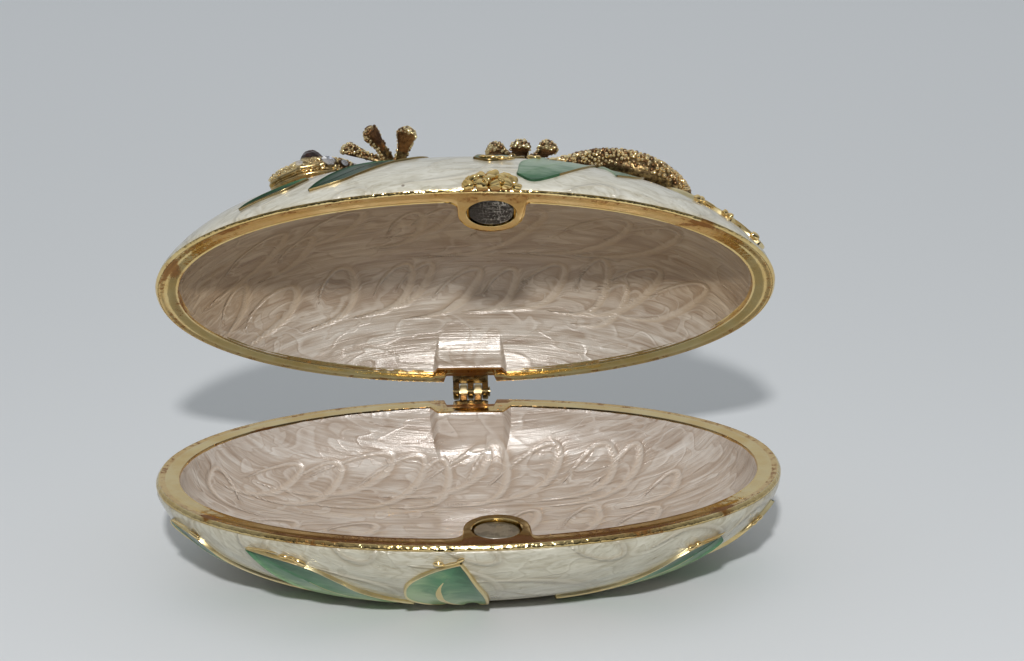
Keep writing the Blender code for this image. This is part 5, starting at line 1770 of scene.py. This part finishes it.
# Body, how deep the disc lies under the rim, its slopes, its place and its finish.
for body, sink, tilt, place, finish in (
    ("base", 0.3, (0.035, 0.05), in_base, grey_magnet),
    ("lid", 0.22, (0.0, 0.01), in_lid, black_magnet),
):
    grid = magnet_grid(sink, tilt)
    make_piece(body + "_magnet_disc", place(grid), grid_quads(*grid.shape[:2]), [finish], body,
               [body + "_magnet"], "magnet_metal", sharp=50)

# %% [markdown]
# ## Hinge
#
# The base's leaf carries two barrels and the lid's three flat ears, all on one pin. Each is a
# strip whose outline runs from a plate in the recess, round the pin and back; the outline is
# carried across the strip's width and drawn in a little at both faces, which rounds the edges.

# %% Hinge pieces
BARREL, EAR = {"radius": 1.35, "width": 1.3}, {"radius": 1.4, "width": 1.05}
HINGE_STEP = 2.5
PLATE_START, PLATE_FOOT, PLATE_TOP = NOTCH["y"] + 0.7, 0.7, 3.2


def strip(outline_points, middle_x, half, soften=0.10):
    """The outline at stations across x, drawn in towards its middle near both faces by a share.

    A station is (share of the half width, share of the way to the middle).
    """
    middle = outline_points.mean(axis=0)
    stations = [(-1.0, 1.0), (-1.0, soften), (-0.86, soften * 0.35), (-0.6, 0.0)]
    stations += [(-share, drawn) for share, drawn in reversed(stations)]
    rows = []
    for share, drawn in stations:
        flat = outline_points + (middle - outline_points) * drawn
        rows.append(np.column_stack([np.full(len(flat), middle_x + half * share), flat]))
    return np.stack(rows)


def link_outline(radius):
    """From the plate, up to the pin's circle, round it, and back to the plate, evenly spaced."""
    swing = np.radians(np.linspace(118.0, -165.0, 40))
    arc = np.column_stack([HINGE_Y + radius * np.cos(swing), radius * np.sin(swing) - HINGE_RISE])
    foot, top = [PLATE_START, PLATE_FOOT], [PLATE_START, PLATE_TOP]
    loop = np.vstack([foot, arc, top, foot])
    length = run_length(loop)
    even = np.linspace(0, length[-1], 64, endpoint=False)
    return np.column_stack([np.interp(even, length, column) for column in loop.T])


def plate_outline(reach):
    """A superellipse that stands in the recess and reaches some millimetres towards the pin."""
    t = full_turn(64)
    y = NOTCH["y"] + 0.3 + reach / 2 * (1 + powered(np.cos(t), 0.5))
    return np.column_stack([y, 2.2 + 1.8 * powered(np.sin(t), 0.4)])


def hinge_leaf(name, part, places, place, finishes, body, web):
    """Links at their places along the pin, a plate, and a web that reaches towards the pin: a dark
    sheet that fills the gap round the pin, as painted shade.

    The faces close round the pin take the last finish.
    """
    links = [strip(link_outline(part["radius"]), x, part["width"] / 2) for x in places]
    # The web stands where only shade is: a dark sheet as painted shade.
    links += [strip(plate_outline(0.9), 0.0, 3.3), strip(plate_outline(web), 0.0, 3.0)]
    points, quads = stacked(np.stack(links), around=True)
    middle = points[quads].mean(axis=1)
    knuckle = np.hypot(middle[:, 1] - HINGE_Y, middle[:, 2] + HINGE_RISE) < part["radius"] + 0.03
    make_piece(name + "_strips", place(points), quads, finishes, body, [name], "gold_plate",
               choice=knuckle * (len(finishes) - 1), sharp=50)


WORN_TONE, WORN_STAIN = (0.80, 0.69, 0.44), (0.20, 0.12, 0.05)
pale_knuckle = gold_finish("worn knuckle gold", WORN_TONE, WORN_STAIN, 0.56, 0.56, 0.12)
BARREL_PLACES, EAR_PLACES = (-HINGE_STEP / 2, HINGE_STEP / 2), (-HINGE_STEP, 0.0, HINGE_STEP)
hinge_leaf("base_hinge_leaf", BARREL, BARREL_PLACES, in_base, [aged_gold, pale_knuckle], "base", 3.6)
hinge_leaf("lid_hinge_leaf", EAR, EAR_PLACES, in_lid, [aged_gold], "lid", 4.1)

# The pin is turned from (x, radius) spots, with a head at its right end.
PIN_PROFILE = [(-3.1, 0.0), (-3.07, 0.4), (-3.0, 0.55), (-2.9, 0.55), (3.0, 0.6)]
PIN_PROFILE += [(3.1, 0.85), (3.3, 0.85), (3.36, 0.5), (3.36, 0.0)]
x, radius = (np.array(column)[:, None] for column in zip(*PIN_PROFILE))
turn = full_turn(40)
y, z = HINGE_Y + radius * np.cos(turn), radius * np.sin(turn) - HINGE_RISE
pin = np.stack([x + 0 * y, y, z], axis=-1)
make_piece("pin_turned", in_base(pin), grid_quads(*y.shape), [aged_gold], "base", ["hinge_pin"],
           "gold_plate", sharp=50)

# %% [markdown]
# ## Floor, light and camera
#
# A pale floor under soft light from all round, one small lamp above the camera for the hard edge
# of the lid's own shadow, and a long lens, as for a small object on a table.

# %% Stage
floor_finish = Finish("pale floor", Roughness=0.7)
away = floor_finish.node("SeparateXYZ", {}, {0: floor_finish.place()}, 1)
NEAR_FLOOR, FAR_FLOOR = (0.70, 0.715, 0.725), (0.91, 0.93, 0.95)
floor_finish.feed("Base Color", floor_finish.blend(away.ramp(-0.05, 0.5), NEAR_FLOOR, FAR_FLOOR))
floor_mesh = bpy.data.meshes.new("floor")
floor_mesh.from_pydata([(-6, -6, 0), (6, -6, 0), (6, 6, 0), (-6, 6, 0)], [], [(0, 1, 2, 3)])
floor = bpy.data.objects.new("floor", floor_mesh)
floor_mesh.materials.append(floor_finish.material)
bpy.context.scene.collection.objects.link(floor)

# The sky's strength is a base plus the dot product of a slope with the way looked in, so it grows
# upwards and towards the back.
SKY_TINT, SKY_BASE, SKY_SLOPE = (0.93, 0.97, 1.0, 1.0), 0.215, (0.0, 0.30, 0.32)
world = bpy.data.worlds.new("studio")
bpy.context.scene.world = world
world.use_nodes = True
tree = world.node_tree
sky = tree.nodes["Background"]
sky.inputs["Color"].default_value = SKY_TINT
direction = tree.nodes.new("ShaderNodeTexCoord")
measure = tree.nodes.new("ShaderNodeVectorMath")
measure.operation = "DOT_PRODUCT"
measure.inputs[1].default_value = SKY_SLOPE
level = tree.nodes.new("ShaderNodeMath")
level.operation = "ADD"
level.inputs[1].default_value = SKY_BASE
level.use_clamp = True
tree.links.new(direction.outputs["Generated"], measure.inputs[0])
tree.links.new(measure.outputs["Value"], level.inputs[0])
tree.links.new(level.outputs[0], sky.inputs["Strength"])

# One square lamp, in metres and watts, turned to face a point of the box.
LAMP_PLACE, LAMP_AIM, LAMP_POWER, LAMP_SIZE = (0.0, -0.46, 0.38), (0.0, 0.01, 0.03), 2.45, 0.03
light = bpy.data.lights.new("key lamp", "AREA")
light.energy, light.size = LAMP_POWER, LAMP_SIZE
lamp = bpy.data.objects.new("key lamp", light)
lamp.location = LAMP_PLACE
lamp.rotation_euler = (Vector(LAMP_PLACE) - Vector(LAMP_AIM)).to_track_quat("Z", "Y").to_euler()
bpy.context.scene.collection.objects.link(lamp)
print("lamp of", LAMP_POWER, "watts")

# %% Camera
# The camera's place in metres, and which ways in the room its right, its top and its back point.
CAMERA_PLACE = (0.008332, -0.368916, 0.170476)
CAMERA_RIGHT = (0.99982652, -0.00397443, -0.01819688)
CAMERA_UP = (0.01847644, 0.33513389, 0.94198933)
CAMERA_BACK = (0.00235452, -0.94216213, 0.33514919)
camera_data = bpy.data.cameras.new("camera")
camera_data.lens, camera_data.sensor_width = 87.51, 36.0
camera = bpy.data.objects.new("camera", camera_data)
turn = Matrix((CAMERA_RIGHT, CAMERA_UP, CAMERA_BACK)).transposed().to_4x4()
camera.matrix_world = Matrix.Translation(CAMERA_PLACE) @ turn
bpy.context.scene.collection.objects.link(camera)
bpy.context.scene.camera = camera
bpy.context.scene.view_settings.view_transform = "Standard"
print("camera at", [round(v, 3) for v in camera.location])
